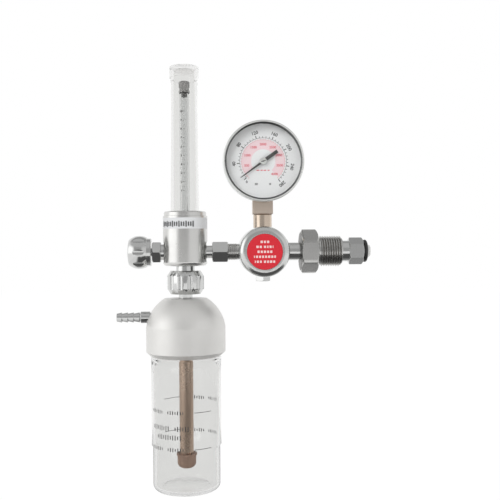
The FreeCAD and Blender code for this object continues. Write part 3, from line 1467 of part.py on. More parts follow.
def make_hose_barb():
    """Hose connection with ridges that fall towards its tip."""
    root = BARB_ROOT_D / 2
    inside = BARB_SEAT - BARB_THREAD_L
    outline = [
        (inside, BARB_BORE_D / 2),
        (inside, BARB_THREAD_D / 2),
        (BARB_SEAT, BARB_THREAD_D / 2),
        (BARB_SEAT, BARB_COLLAR_D / 2),
        (BARB_REACH - 0.5, BARB_COLLAR_D / 2),
        (BARB_REACH, BARB_COLLAR_D / 2 - 0.5),
        (BARB_REACH, root),
    ]
    for index in range(BARB_COUNT):
        start = BARB_REACH + index * BARB_PITCH
        outline.append((start + 0.5, root))
        outline.append((start + 0.5, BARB_D / 2))
        outline.append((start + BARB_PITCH, root))
    outline.append((BARB_REACH + BARB_COUNT * BARB_PITCH, BARB_BORE_D / 2))
    return turned(outline, FLOWMETER + AXIS_Z * BARB_Z, AXIS_LEFT)


def make_dip_tube():
    """Straight tube from the cap's post down to the diffuser."""
    return cylinder(DIP_TUBE_D, DIP_TUBE_BOTTOM, DIP_TUBE_TOP, FLOWMETER).cut(
        cylinder(DIP_TUBE_BORE_D, DIP_TUBE_BOTTOM, DIP_TUBE_TOP, FLOWMETER)
    )


def make_diffuser():
    """Sintered cup with a rim and a rounded end."""
    outer = DIFFUSER_D / 2
    bottom = DIFFUSER_TOP - DIFFUSER_L
    bend = outer * 0.6
    socket = DIP_TUBE_D / 2 + SEAT
    inner = outer - 2.0
    return turned([
        (DIFFUSER_TOP, socket),
        (DIFFUSER_TOP, DIFFUSER_RIM_D / 2),
        (DIFFUSER_TOP - DIFFUSER_RIM_L, DIFFUSER_RIM_D / 2),
        (DIFFUSER_TOP - DIFFUSER_RIM_L, outer),
        (bottom + bend, outer),
        (quarter((bottom + bend, outer - bend), bend, -1), (bottom, outer - bend)),
        (bottom, 0),
        (bottom + 2.0, 0),
        (bottom + 2.0, inner - 1.5),
        (bottom + 3.5, inner),
        (DIP_TUBE_BOTTOM, inner),
        (DIP_TUBE_BOTTOM, socket),
    ], FLOWMETER)


def make_bottle():
    """Clear bottle with a neck inside the cap, a step low down and a rounded foot."""
    neck = BOTTLE_NECK_D / 2
    upper = BOTTLE_D / 2
    lower = BOTTLE_LOWER_D / 2
    wall = BOTTLE_WALL
    step = BOTTLE_SHOULDER - BOTTLE_UPPER_L
    foot = step - BOTTLE_LOWER_L
    bend = BOTTLE_CORNER_R
    lip_bend = BOTTLE_SHOULDER_R
    inner_bend = bend - wall
    floor = foot + BOTTLE_FLOOR_T
    rise = upper - neck + wall
    return turned([
        (BOTTLE_LIP, neck - wall),
        (BOTTLE_LIP, neck),
        (BOTTLE_SHOULDER, neck),
        (BOTTLE_SHOULDER, upper - lip_bend),
        (
            quarter((BOTTLE_SHOULDER - lip_bend, upper - lip_bend), lip_bend, 1),
            (BOTTLE_SHOULDER - lip_bend, upper),
        ),
        (step, upper),
        (step - BOTTLE_STEP_L, lower),
        (foot + bend, lower),
        (quarter((foot + bend, lower - bend), bend, -1), (foot, lower - bend)),
        (foot, lower - bend - 3.0),
        (foot + BOTTLE_PUSH_UP, lower - bend - 6.0),
        (foot + BOTTLE_PUSH_UP, 0),
        (floor + BOTTLE_PUSH_UP, 0),
        (floor + BOTTLE_PUSH_UP, lower - bend - 6.0),
        (floor, lower - bend - 3.0),
        (floor, lower - wall - inner_bend),
        (
            quarter((floor + inner_bend, lower - wall - inner_bend), inner_bend, -1),
            (floor + inner_bend, lower - wall),
        ),
        (step - BOTTLE_STEP_L, lower - wall),
        (step, upper - wall),
        (BOTTLE_SHOULDER - wall - rise, upper - wall),
        (BOTTLE_SHOULDER - wall, neck - wall),
    ], FLOWMETER)


def make_bottle_seal():
    """Flat ring on the bottle's lip."""
    outer = BOTTLE_NECK_D / 2 - 0.2
    return turned([
        (BOTTLE_LIP, outer - BOTTLE_SEAL_W),
        (BOTTLE_LIP, outer),
        (BOTTLE_LIP + BOTTLE_SEAL_T, outer),
        (BOTTLE_LIP + BOTTLE_SEAL_T, outer - BOTTLE_SEAL_W),
    ], FLOWMETER)


def make_nodes():
    """Every piece by its name."""
    nodes = {
        "inlet_nut": make_inlet_nut(),
        "inlet_stem": make_inlet_stem(),
        "inlet_nipple": make_inlet_nipple(),
        "inlet_o_ring": make_inlet_o_ring(),
        "inlet_filter": make_inlet_filter(),
        "regulator_body": make_regulator_body(),
        "bonnet": make_bonnet(),
        "label_disc": make_label_disc(),
        "gauge_adapter": make_gauge_adapter(),
        "gauge_socket": make_gauge_socket(),
        "gauge_case": make_gauge_case(),
        "bourdon_tube": make_bourdon_tube(),
        "bourdon_tip": make_bourdon_tip(),
        "link": make_link(),
        "sector_gear": make_sector_gear(),
        "pinion_shaft": make_pinion_shaft(),
        "hairspring": make_hairspring(),
        "pointer": make_pointer(),
        "flowmeter_body": make_flowmeter_body(),
        "name_band": make_name_band(),
        "tube_retaining_ring": make_tube_retaining_ring(),
        "flow_tube_cover": make_flow_tube_cover(),
        "flow_knob": make_flow_knob(),
        "outlet_nipple": make_outlet_nipple(),
        "hand_nut": make_hand_nut(),
        "humidifier_cap": make_humidifier_cap(),
        "hose_barb": make_hose_barb(),
        "dip_tube": make_dip_tube(),
        "diffuser": make_diffuser(),
        "bottle_seal": make_bottle_seal(),
        "bottle": make_bottle(),
    }
    nodes.update(make_spring_pack())
    nodes.update(make_valve())
    nodes.update(make_relief())
    nodes.update(make_union())
    nodes.update(make_movement())
    nodes.update(make_gauge_front())
    nodes.update(make_metering_set())
    nodes.update(make_needle_valve())
    nodes.update(make_humidifier_spigot())
    return nodes


def export_nodes():
    """One file for each piece, with a line on its solids and size."""
    os.makedirs("parts", exist_ok=True)
    for name, shape in make_nodes().items():
        shape.exportStep("parts/" + name + ".step")
        box = shape.BoundBox
        print(
            name, len(shape.Solids), "solids",
            "valid" if shape.isValid() else "INVALID", round(shape.Volume, 1),
            "x", round(box.XMin, 1), round(box.XMax, 1), "z", round(box.ZMin, 1), round(box.ZMax, 1),
        )


export_nodes()
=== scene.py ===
"""Looks of a hospital oxygen regulator with its gauge, flowmeter and humidifier.

Lengths are in millimetres, unless a docstring or a comment says metres. Finished meshes are in metres.
"""

import logging
import math
from dataclasses import dataclass, field
from enum import Enum
from typing import Any, Iterable, Sequence

import bmesh
import bpy
from bmesh.types import BMEdge, BMesh, BMVert
from bpy.types import ID, Material, Mesh, Node, NodeSocket, NodeTree, Object
from mathutils import Matrix, Vector


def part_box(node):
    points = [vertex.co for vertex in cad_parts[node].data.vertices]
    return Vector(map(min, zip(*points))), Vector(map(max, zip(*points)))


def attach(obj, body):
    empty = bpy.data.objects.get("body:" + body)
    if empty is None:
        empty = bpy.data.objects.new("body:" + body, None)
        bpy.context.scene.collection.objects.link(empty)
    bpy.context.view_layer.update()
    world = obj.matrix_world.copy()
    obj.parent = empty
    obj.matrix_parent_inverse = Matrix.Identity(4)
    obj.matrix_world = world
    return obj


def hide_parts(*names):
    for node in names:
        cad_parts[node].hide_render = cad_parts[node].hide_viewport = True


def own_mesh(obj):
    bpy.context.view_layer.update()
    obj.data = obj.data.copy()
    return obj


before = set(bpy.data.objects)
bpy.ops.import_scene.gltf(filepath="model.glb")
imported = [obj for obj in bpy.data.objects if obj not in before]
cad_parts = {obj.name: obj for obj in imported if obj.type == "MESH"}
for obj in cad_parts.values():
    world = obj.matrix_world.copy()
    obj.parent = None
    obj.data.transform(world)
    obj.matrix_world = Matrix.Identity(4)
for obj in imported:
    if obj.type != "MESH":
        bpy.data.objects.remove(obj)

LOG = logging.getLogger("oxygen_regulator")
MM = 0.001
FULL_TURN = 2 * math.pi
# Distance in metres under which two places count as one.
NEAR = 1e-6
WHITE = (1.0, 1.0, 1.0, 1.0)
# Places along X of the regulator's axis and of the flowmeter's.
REGULATOR_X = -58.2
FLOW_X = -116.5


class Direction(Enum):
    """Ways a turned piece can point, as a unit vector along its axis."""

    RIGHT = (1.0, 0.0, 0.0)
    FRONT = (0.0, -1.0, 0.0)


class Grain(Enum):
    """How a metal or plastic surface was worked."""

    POLISHED = "polished"
    TURNED = "turned"
    BLASTED = "blasted"
    SINTERED = "sintered"
    MOULDED = "moulded"


@dataclass(frozen=True)
class Axis:
    """Line that a piece is turned about, with its origin in millimetres."""

    origin: tuple[float, float, float]
    direction: Direction

    def placement(self) -> Matrix:
        """Return the matrix that takes a piece turned about +Z at the origin to this line."""
        turn = Vector((0, 0, 1)).rotation_difference(Vector(self.direction.value))
        return Matrix.Translation(Vector(self.origin) * MM) @ turn.to_matrix().to_4x4()


INLET = Axis((0.0, 0.0, 0.0), Direction.RIGHT)
REGULATOR = Axis((REGULATOR_X, 0.0, 0.0), Direction.FRONT)
GAUGE = Axis((REGULATOR_X, 0.0, 66.8), Direction.FRONT)
UNION = Axis((FLOW_X, 0.0, 0.0), Direction.RIGHT)
# Turn that stands a mark in the XY plane up, so that it faces the front.
UPRIGHT = Matrix.Rotation(math.radians(90), 4, "X")
# Detail and roughness of the noise that draws each grain but the sintered one.
GRAIN_NOISE = {
    Grain.POLISHED: (4.0, 0.55), Grain.MOULDED: (4.0, 0.55), Grain.TURNED: (3.0, 0.7),
    Grain.BLASTED: (2.0, 0.55),
}
# Size of the patches where handling has changed the tint and the gloss.
HANDLING_MM = 14
# Bounces after which a ray goes straight on through clear plastic instead of ending black inside it.
MOST_BOUNCES = 4.5


def linear(colour: str) -> tuple[float, float, float, float]:
    """Turn an sRGB hex colour to linear.

    Args:
        colour: Six hex digits after a hash sign.

    Returns:
        Red, green, blue and alpha for a socket.
    """
    parts = [int(colour[index : index + 2], 16) / 255 for index in (1, 3, 5)]
    red, green, blue = (
        part / 12.92 if part <= 0.04045 else ((part + 0.055) / 1.055) ** 2.4 for part in parts
    )
    return (red, green, blue, 1.0)


def add_node(tree: NodeTree, kind: str, **settings: Any) -> Node:
    """Add a node, set it and link it.

    Args:
        tree: Tree that gets the node.
        kind: Blender's name of the node's type, without ShaderNode in front.
        settings: Properties by name, and what goes in under the name inputs: a dict by name or place,
            or a tuple from the first place on. Each is a value or another node's socket.

    Returns:
        The new node.
    """
    node = tree.nodes.new("ShaderNode" + kind)
    inputs = settings.pop("inputs", {})
    for name, value in settings.items():
        setattr(node, name, value)
    for name, value in inputs.items() if isinstance(inputs, dict) else enumerate(inputs):
        if isinstance(value, NodeSocket):
            tree.links.new(value, node.inputs[name])
        else:
            node.inputs[name].default_value = value
    return node


def bare_material(name: str) -> tuple[Material, NodeTree]:
    """Make a material with an empty tree.

    Args:
        name: Name of the material.

    Returns:
        The material and its tree.
    """
    material = bpy.data.materials.new(name)
    material.use_nodes = True
    material.node_tree.nodes.clear()
    return material, material.node_tree


def past(tree: NodeTree, count: str, limit: float = 0.5) -> NodeSocket:
    """Return 1 for the rays whose count of one kind of step is past a limit, and 0 for the rest."""
    steps = add_node(tree, "LightPath").outputs[count]
    return add_node(tree, "Math", operation="GREATER_THAN", inputs=(steps, limit)).outputs[0]


@dataclass(frozen=True)
class Finish:
    """Opaque surface: its base, its gloss and the marks that making it left."""

    name: str
    colour: str
    second: str
    metallic: float
    roughness: float
    spread: float
    grain: Grain
    grain_mm: float
    depth_mm: float
    coat: float = 0.0

    def height(self, tree: NodeTree, place: NodeSocket) -> NodeSocket:
        """Draw the relief that this surface's making leaves.

        Args:
            tree: The material's tree.
            place: Place on the object.

        Returns:
            The relief's height, from 0 to 1.
        """
        inputs = {"Vector": place, "Scale": 1 / (self.grain_mm * MM)}
        if self.grain is Grain.SINTERED:
            inputs["Randomness"] = 0.9
            return add_node(tree, "TexVoronoi", feature="F1", inputs=inputs).outputs["Distance"]
        inputs["Detail"], inputs["Roughness"] = GRAIN_NOISE[self.grain]
        return add_node(tree, "TexNoise", inputs=inputs).outputs["Fac"]

    def build(self) -> Material:
        """Make the finish's material.

        Returns:
            The material.
        """
        material, tree = bare_material(self.name)
        place = add_node(tree, "TexCoord").outputs["Object"]
        handling = add_node(
            tree, "TexNoise",
            inputs={"Vector": place, "Scale": 1 / (HANDLING_MM * MM), "Detail": 4.0, "Roughness": 0.6},
        ).outputs["Fac"]
        tint = add_node(
            tree, "Mix", data_type="RGBA", clamp_factor=True,
            inputs={0: handling, 6: linear(self.colour), 7: linear(self.second)},
        )
        gloss = add_node(
            tree, "MapRange",
            inputs={
                "Value": handling, "From Min": 0.3, "From Max": 0.7,
                "To Min": self.roughness - self.spread, "To Max": self.roughness + self.spread,
            },
        )
        relief = add_node(
            tree, "Bump",
            inputs={"Strength": 1.0, "Distance": self.depth_mm * MM, "Height": self.height(tree, place)},
        )
        shader = add_node(
            tree, "BsdfPrincipled",
            inputs={
                "Base Color": tint.outputs[2], "Metallic": self.metallic,
                "Roughness": gloss.outputs["Result"], "Normal": relief.outputs["Normal"],
                "Coat Weight": self.coat, "Coat Roughness": 0.08,
            },
        )
        add_node(tree, "OutputMaterial", inputs={"Surface": shader.outputs["BSDF"]})
        return material


@dataclass(frozen=True)
class ClearFinish:
    """See-through moulded plastic or glass."""

    name: str
    colour: str
    ior: float
    roughness: float
    ripple_mm: float
    ripple_depth_mm: float

    def build(self) -> Material:
        """Make the finish's material, which lets lamp light through and no ray get lost inside.

        Returns:
            The material.
        """
        material, tree = bare_material(self.name)
        ripple = add_node(
            tree, "TexNoise",
            inputs={
                "Vector": add_node(tree, "TexCoord").outputs["Object"],
                "Scale": 1 / (self.ripple_mm * MM), "Detail": 1.0,
            },
        )
        relief = add_node(
            tree, "Bump",
            inputs={"Strength": 1.0, "Distance": self.ripple_depth_mm * MM, "Height": ripple.outputs["Fac"]},
        )
        shader = add_node(
            tree, "BsdfPrincipled",
            inputs={
                "Base Color": linear(self.colour), "Roughness": self.roughness, "IOR": self.ior,
                "Transmission Weight": 1.0, "Normal": relief.outputs["Normal"],
            },
        )
        through = add_node(tree, "BsdfTransparent", inputs={"Color": linear("#F3F3F3")})
        shadow = add_node(tree, "LightPath").outputs["Is Shadow Ray"]
        trapped = past(tree, "Ray Depth", MOST_BOUNCES)
        straight = add_node(tree, "Math", operation="MAXIMUM", inputs=(shadow, trapped)).outputs[0]
        mixed = add_node(
            tree, "MixShader", inputs=(straight, shader.outputs["BSDF"], through.outputs["BSDF"])
        )
        add_node(tree, "OutputMaterial", inputs={"Surface": mixed.outputs["Shader"]})
        return material


# Bright chromium over polished brass: mirror-like, with faint polishing waves and finger haze.
CHROME = Finish("chromium_plated_brass", "#D6D7D6", "#CBCBCA", 1.0, 0.13, 0.035, Grain.POLISHED, 5.0, 0.006)
# Chromium over a turned shoulder that was buffed by hand: a shade softer than the drawn parts.
POLISHED_SHOULDER = Finish(
    "hand_buffed_chromium", "#D8D9D8", "#CDCECC", 1.0, 0.2, 0.03, Grain.POLISHED, 4.0, 0.008,
)
# Satin chromium on turned brass: softer than the mirror parts, with fine tool marks.
SATIN_CHROME = Finish(
    "satin_chromium_on_turned_brass", "#C9C9C7", "#BFBEBC", 1.0, 0.24, 0.04, Grain.TURNED, 0.9, 0.008,
)
# Chromium over brass that was brushed along its length: silky, its reflections run soft at the edges.
BRUSHED_CHROME = Finish(
    "chromium_over_brushed_brass", "#DBDBD9", "#D2D1CF", 1.0, 0.25, 0.03, Grain.TURNED, 1.6, 0.002,
)
# Back face of the inlet nut: chromium darkened as painted shade, standing in for the dark regulator body that
# it mirrors.
NUT_BACK_SHADE_CHROME = Finish(
    "chromium_darkened_as_painted_shade", "#8D8C8A", "#7F7E7C", 1.0, 0.42, 0.04, Grain.TURNED, 0.8, 0.01,
)
# Bottom of the inlet thread: chromium darkened as painted shade in the roots, so that the turns stand out.
THREAD_ROOT_SHADE = Finish(
    "chromium_with_painted_shade_in_thread_roots", "#9B9894", "#86837F", 1.0, 0.42, 0.04, Grain.TURNED, 0.6, 0.01,
)
# Nickel over brass with a thin warm cast, as on fittings that are plated without chromium.
WARM_NICKEL = Finish("nickel_plated_brass", "#D9CABA", "#CDBCAB", 1.0, 0.2, 0.04, Grain.TURNED, 0.8, 0.008)
# Drawn and milled nickel silver of the gauge's socket: dull, brownish, fine grained.
SOCKET_NICKEL = Finish(
    "milled_nickel_silver", "#D8C9BB", "#CBBCAF", 0.85, 0.42, 0.05, Grain.TURNED, 0.7, 0.015,
)
# Drawn brass tube with an aged nickel wash: brown-pink, soft reflections along its length.
TUBE_NICKEL = Finish(
    "drawn_tube_with_aged_nickel", "#BCA796", "#A99485", 1.0, 0.3, 0.05, Grain.TURNED, 1.2, 0.01,
)
# Bead-blasted and clear anodised aluminium: even silver sheen with a grit too fine to count.
CAP_ALUMINIUM = Finish(
    "bead_blasted_anodised_aluminium", "#E4E3E1", "#DCDBD8", 0.7, 0.42, 0.03, Grain.BLASTED, 0.45, 0.02,
)
# Pressed stainless steel, satin on the case and bright on the bezel's lip.
GAUGE_STEEL = Finish(
    "pressed_stainless_steel", "#E3E4E2", "#DBDCDA", 0.75, 0.3, 0.04, Grain.TURNED, 0.8, 0.008,
)
# Baked enamel on the dial sheet: matt white-grey with a faint tooth.
DIAL_ENAMEL = Finish("baked_white_enamel", "#E4E4E5", "#DEDEE0", 0.0, 0.5, 0.04, Grain.BLASTED, 0.6, 0.006)
# Inner flank of the bezel: the same steel with a dark base colour painted on as shade, for the dark ring that
# the recess shows.
FLANK_SHADE_STEEL = Finish("steel_darkened_as_painted_shade", "#6B6C6C", "#5C5D5D", 0.8, 0.3, 0.04, Grain.TURNED, 0.8, 0.01)
# Screen-printed red lacquer under a clear film: strong flat red with a soft gloss.
LABEL_LACQUER = Finish(
    "printed_red_lacquer", "#D51B2D", "#CB1829", 0.0, 0.4, 0.04, Grain.MOULDED, 2.0, 0.006, 0.1,
)
# Printed grey film round the flowmeter body.
BAND_FILM = Finish("printed_grey_film", "#DDDEDF", "#D5D6D8", 0.0, 0.36, 0.04, Grain.MOULDED, 2.5, 0.006, 0.2)
# Nitrile rubber: black, dull, with a fine moulded skin.
NITRILE = Finish("moulded_nitrile_rubber", "#1D1C1C", "#262524", 0.0, 0.48, 0.06, Grain.MOULDED, 0.8, 0.02)
# Sintered polythene filter tip: white beads pressed together.
FILTER_SINTER = Finish(
    "sintered_white_polythene", "#EDEDEA", "#E2E2DF", 0.0, 0.7, 0.05, Grain.SINTERED, 0.5, 0.08,
)
# Sintered bronze diffuser: brown beads, dull, with dark pores between them.
DIFFUSER_BRONZE = Finish(
    "sintered_bronze", "#A48A7B", "#8C7466", 0.75, 0.55, 0.06, Grain.SINTERED, 0.55, 0.12,
)
# Stamped and turned brass of the gauge's movement.
MOVEMENT_BRASS = Finish("stamped_brass", "#C9A765", "#B59352", 1.0, 0.3, 0.05, Grain.TURNED, 0.6, 0.008)
# Thin stamped aluminium of the pointer, painted satin black: a soft sheen, never quite black.
POINTER_BLACK = Finish("satin_black_paint", "#2E2C2B", "#383634", 0.0, 0.42, 0.05, Grain.MOULDED, 0.8, 0.01)
# Hard-drawn spring and bright bar steel.
BRIGHT_STEEL = Finish("bright_drawn_steel", "#B4B5B5", "#A4A5A6", 1.0, 0.25, 0.05, Grain.TURNED, 0.6, 0.006)
# Smoked acetal plug at the top of the metering tube.
PLUG_PLASTIC = Finish(
    "dark_turned_acetal", "#8C8B8A", "#6A6968", 0.0, 0.25, 0.05, Grain.TURNED, 0.6, 0.01, 0.4,
)
# Printing inks: thin, matt, a little uneven where the screen lifted.
INK_BLACK = Finish("black_printing_ink", "#2C2D2F", "#38393B", 0.0, 0.6, 0.04, Grain.MOULDED, 0.7, 0.003)
INK_GREY = Finish("grey_printing_ink", "#3C3B3A", "#4A4847", 0.0, 0.6, 0.04, Grain.MOULDED, 0.7, 0.003)
INK_RED = Finish("red_printing_ink", "#CF5663", "#D96F7A", 0.0, 0.6, 0.04, Grain.MOULDED, 0.7, 0.003)
INK_PINK = Finish("pink_printing_ink", "#E9CFD4", "#E5C8CE", 0.0, 0.6, 0.04, Grain.MOULDED, 0.7, 0.003)
INK_WHITE = Finish("white_printing_ink", "#F0D2D1", "#EAC8C7", 0.0, 0.5, 0.04, Grain.MOULDED, 0.7, 0.003)

# Moulded polycarbonate of the bottle: a faint grey cast. It bends light less here than the solid
# plastic would, because the real wall is thin and lets the pale background through to its edges.
CLEAR_PLASTIC = ClearFinish("clear_moulded_polycarbonate", "#EBEBEA", 1.24, 0.04, 30.0, 0.004)
# The flow tube's cover: the same plastic in a thicker wall, with soft grey lines along its length.
CLEAR_COVER = ClearFinish("clear_thick_polycarbonate", "#EFEFEE", 1.13, 0.05, 30.0, 0.004)
# The cover's roof: the same plastic, frosted by the turning of its top.
FROSTED_ROOF = ClearFinish("frosted_polycarbonate", "#E3E2E1", 1.2, 0.3, 3.0, 0.02)
# Thin drawn acrylic metering tube.
CLEAR_TUBE = ClearFinish("clear_drawn_acrylic", "#EDEEED", 1.16, 0.05, 20.0, 0.003)
# Flat window of the gauge.
LENS_GLASS = ClearFinish("clear_flat_window", "#FAFBFA", 1.45, 0.01, 30.0, 0.002)


def placed(name: str, data: ID) -> Object:
    """Make an object and put it in the scene.

    Args:
        name: Name of the object.
        data: Mesh, curve, light or camera that it shows.

    Returns:
        The new object.
    """
    thing = bpy.data.objects.new(name, data)
    bpy.context.scene.collection.objects.link(thing)
    return thing


class Workshop:
    """Keeps one material for each finish and hangs finished meshes on the frame's bodies."""

    def __init__(self) -> None:
        """Start with no materials made."""
        self.materials: dict[str, Material] = {}

    def material(self, finish: Finish | ClearFinish) -> Material:
        """Make a finish's material, but only once.

        Args:
            finish: The finish.

        Returns:
            Its material.
        """
        if finish.name not in self.materials:
            self.materials[finish.name] = finish.build()
        return self.materials[finish.name]

    def paint(self, finishes: dict[str, Finish]) -> None:
        """Give CAD nodes that stay as they are their finishes.

        Args:
            finishes: Each node's finish.
        """
        for node, finish in finishes.items():
            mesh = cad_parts[node].data
            mesh.materials.clear()
            mesh.materials.append(self.material(finish))
            LOG.info("painted %s", node)

    def finished(
        self,
        name: str,
        bm: BMesh,
        finishes: Sequence[Finish | ClearFinish],
        body: str,
        stands_for: Sequence[str] = (),
        sharp_deg: float = 32.0,
    ) -> Object:
        """Turn a bmesh into a piece that rides on a body.

        Args:
            name: Name of the piece.
            bm: Mesh in metres, already in its place. It is freed.
            finishes: Finishes by the faces' material index.
            body: CAD body that carries the piece.
            stands_for: CAD nodes that the piece replaces.
            sharp_deg: Angle between faces above which the edge stays crisp.

        Returns:
            The new object.
        """
        for face in bm.faces:
            face.smooth = True
        mesh = bpy.data.meshes.new(name)
        bm.to_mesh(mesh)
        bm.free()
        mesh.set_sharp_from_angle(angle=math.radians(sharp_deg))
        for finish in finishes:
            mesh.materials.append(self.material(finish))
        piece = placed(name, mesh)
        if isinstance(finishes[0], Finish):
            # Flats stay flat beside their rounded edges. Clear pieces have no rounded edges.
            piece.modifiers.new("flat_facets", "WEIGHTED_NORMAL").keep_sharp = True
        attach(piece, body)
        if stands_for:
            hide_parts(*stands_for)
        LOG.info("made %s with %d faces", name, len(mesh.polygons))
        return piece

    def dress(self, rows: Iterable[tuple[str, Finish | ClearFinish, str, str, float, str]]) -> None:
        """Remake CAD nodes with broken edges. A row has node, finish, new name, slot, edge and body."""
        for node, finish, name, slot, edge_mm, body in rows:
            self.finished(name, refined(node, edge_mm), [finish], body, [node])


SHOP = Workshop()


def break_edges(bm: BMesh, edges: Iterable[BMEdge], width_mm: float, steps: int = 2) -> None:
    """Round some edges of a mesh.

    Args:
        bm: Mesh that the edges belong to.
        edges: Edges to round.
        width_mm: Width of the rounding from the edge.
        steps: Faces across the rounding.
    """
    chosen = list(edges)
    if chosen and width_mm > 0:
        bmesh.ops.bevel(
            bm, geom=chosen, offset=width_mm * MM, offset_type="OFFSET", segments=steps, profile=0.5,
            affect="EDGES", clamp_overlap=True, material=-1, loop_slide=True,
        )


def spun(
    outline: Sequence[tuple[float, float]],
    angle: float,
    steps: int,
    closed: bool = True,
    unit: float = MM,
    rise: float = 0.0,
    whole: bool = False,
) -> BMesh:
    """Spin an outline about +Z.

    Args:
        outline: Corners as (along, radius).
        angle: Turn in radians.
        steps: Faces along the turn.
        closed: Whether the outline's last corner joins its first.
        unit: Length of the outline's unit in the mesh.
        rise: Climb with each step, in metres.
        whole: Whether the last step meets the first.

    Returns:
        The mesh.
    """
    bm = bmesh.new()
    corners = [bm.verts.new((radius * unit, 0.0, along * unit)) for along, radius in outline]
    for first, second in zip(corners, corners[1:] + corners[:1] if closed else corners[1:]):
        bm.edges.new((first, second))
    bmesh.ops.spin(
        bm, geom=bm.verts[:] + bm.edges[:], cent=(0, 0, 0), axis=(0, 0, 1), dvec=(0, 0, rise),
        angle=angle, steps=steps, use_merge=whole,
    )
    return bm


def turned(
    outline: Sequence[tuple[float, float]],
    axis: Axis,
    rounds: dict[int, float] | None = None,
    edge_mm: float = 0.15,
    steps: int = 96,
    closed: bool = True,
) -> BMesh:
    """Turn an outline about an axis.

    Args:
        outline: Corners as (along, radius), outside first.
        axis: Line that the piece is turned about.
        rounds: Radius of the corners that are rounded more than the rest.
        edge_mm: Rounding of every other sharp corner.
        steps: Faces round the piece.
        closed: Whether the outline's last corner joins its first.

    Returns:
        The mesh in its place, in metres.
    """
    bm = spun(outline, FULL_TURN, steps, closed, whole=True)
    bmesh.ops.remove_doubles(bm, verts=bm.verts, dist=NEAR)
    bmesh.ops.dissolve_degenerate(bm, edges=bm.edges, dist=NEAR / 10)
    bmesh.ops.recalc_face_normals(bm, faces=bm.faces)
    for index, radius in (rounds or {}).items():
        break_edges(bm, ring_edges(bm, *outline[index]), radius, 6)
    if edge_mm:
        break_edges(bm, sharp_edges(bm, 40.0), edge_mm)
    bm.transform(axis.placement())
    return bm


def ring_edges(bm: BMesh, along: float, radius: float) -> list[BMEdge]:
    """Find the ring that one corner of a turned outline makes.

    Args:
        bm: Mesh turned about +Z.
        along: Place of the corner along the axis.
        radius: Radius of the corner.

    Returns:
        The ring's edges.
    """
    def on_ring(vertex: BMVert) -> bool:
        """Say whether a vertex lies on the ring."""
        out = math.hypot(vertex.co.x, vertex.co.y)
        return abs(vertex.co.z - along * MM) < NEAR and abs(out - radius * MM) < NEAR

    return [edge for edge in bm.edges if all(on_ring(vertex) for vertex in edge.verts)]


def sharp_edges(bm: BMesh, degrees: float) -> list[BMEdge]:
    """Return the edges whose faces meet at more than an angle."""
    limit = math.radians(degrees)
    return [edge for edge in bm.edges if edge.is_manifold and edge.calc_face_angle(0.0) > limit]


def refined(node: str, edge_mm: float) -> BMesh:
    """Copy a CAD node's mesh, join its triangles and round its sharp edges.

    Args:
        node: Name of the CAD node.
        edge_mm: Width of the rounding, or 0 for none.

    Returns:
        The joined mesh in its place.
    """
    bm = bmesh.new()
    bm.from_mesh(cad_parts[node].data)
    bmesh.ops.remove_doubles(bm, verts=bm.verts, dist=2 * NEAR)
    bmesh.ops.dissolve_degenerate(bm, edges=bm.edges, dist=NEAR)
    bmesh.ops.dissolve_limit(
        bm, angle_limit=math.radians(1.0), use_dissolve_boundaries=False, verts=bm.verts, edges=bm.edges,
    )
    break_edges(bm, sharp_edges(bm, 32.0), edge_mm)
    return bm


def threaded(
    name: str, body: str, axis: Axis, start: float, end: float, root: float, crest: float, pitch: float,
    shade: float,
) -> None:
    """Make a screw thread with square-cut ends and painted shade in its roots, on an axis along X.

    Args:
        name: Name of the piece.
        body: CAD body that carries the thread.
        axis: Line that the thread runs round.
        start: Lower end along the axis.
        end: Upper end along the axis.
        root: Radius at the bottom of the thread.
        crest: Radius at the top of the thread.
        pitch: Distance between two turns.
        shade: Height above the root up to which faces get the painted shade.
    """
    steps = 48
    turns = math.ceil((end - start) / pitch) + 2
    profile = ((0.0, root), (0.14, root), (0.38, crest), (0.62, crest), (0.86, root), (1.0, root))
    bm = spun(
        [(start + (share - 1) * pitch, radius) for share, radius in profile], FULL_TURN * turns,
        steps * turns, closed=False, rise=pitch * MM / steps,
    )
    bmesh.ops.remove_doubles(bm, verts=bm.verts, dist=2 * NEAR)
    for level, keep_above in ((start, True), (end, False)):
        bmesh.ops.bisect_plane(
            bm, geom=bm.verts[:] + bm.edges[:] + bm.faces[:], dist=NEAR / 10, plane_co=(0, 0, level * MM),
            plane_no=(0, 0, 1), clear_inner=keep_above, clear_outer=not keep_above,
        )
    bmesh.ops.recalc_face_normals(bm, faces=bm.faces)
    bm.transform(axis.placement())
    # Faces near the root get the darker finish: painted shade in the thread's recesses.
    for face in bm.faces:
        centre = face.calc_center_median()
        face.material_index = int(math.hypot(centre.y, centre.z) < (root + shade) * MM)
    SHOP.finished(name, bm, [SATIN_CHROME, THREAD_ROOT_SHADE], body, (), 30.0)


def hexed(bm: BMesh, axis: Axis, flats: float, start: float, end: float) -> None:
    """Cut six flats on part of a turned piece.

    Args:
        bm: Piece in its place.
        axis: Line that it was turned about.
        flats: Distance across the flats.
        start: First end of the hexagon along the axis.
        end: Last end of the hexagon along the axis.
    """
    bm.transform(axis.placement().inverted())
    sixth = math.radians(60)
    for vertex in bm.verts:
        if start * MM - NEAR <= vertex.co.z <= end * MM + NEAR:
            angle = math.atan2(vertex.co.y, vertex.co.x) % sixth - sixth / 2
            share = flats / 2 * MM / math.cos(angle) / math.hypot(vertex.co.x, vertex.co.y)
            if share < 1:
                vertex.co.xy *= share
    bm.transform(axis.placement())


def pour(bm: BMesh, mesh: Mesh) -> None:
    """Add a mesh to a bmesh and remove it from the file."""
    bm.from_mesh(mesh)
    bpy.data.meshes.remove(mesh)


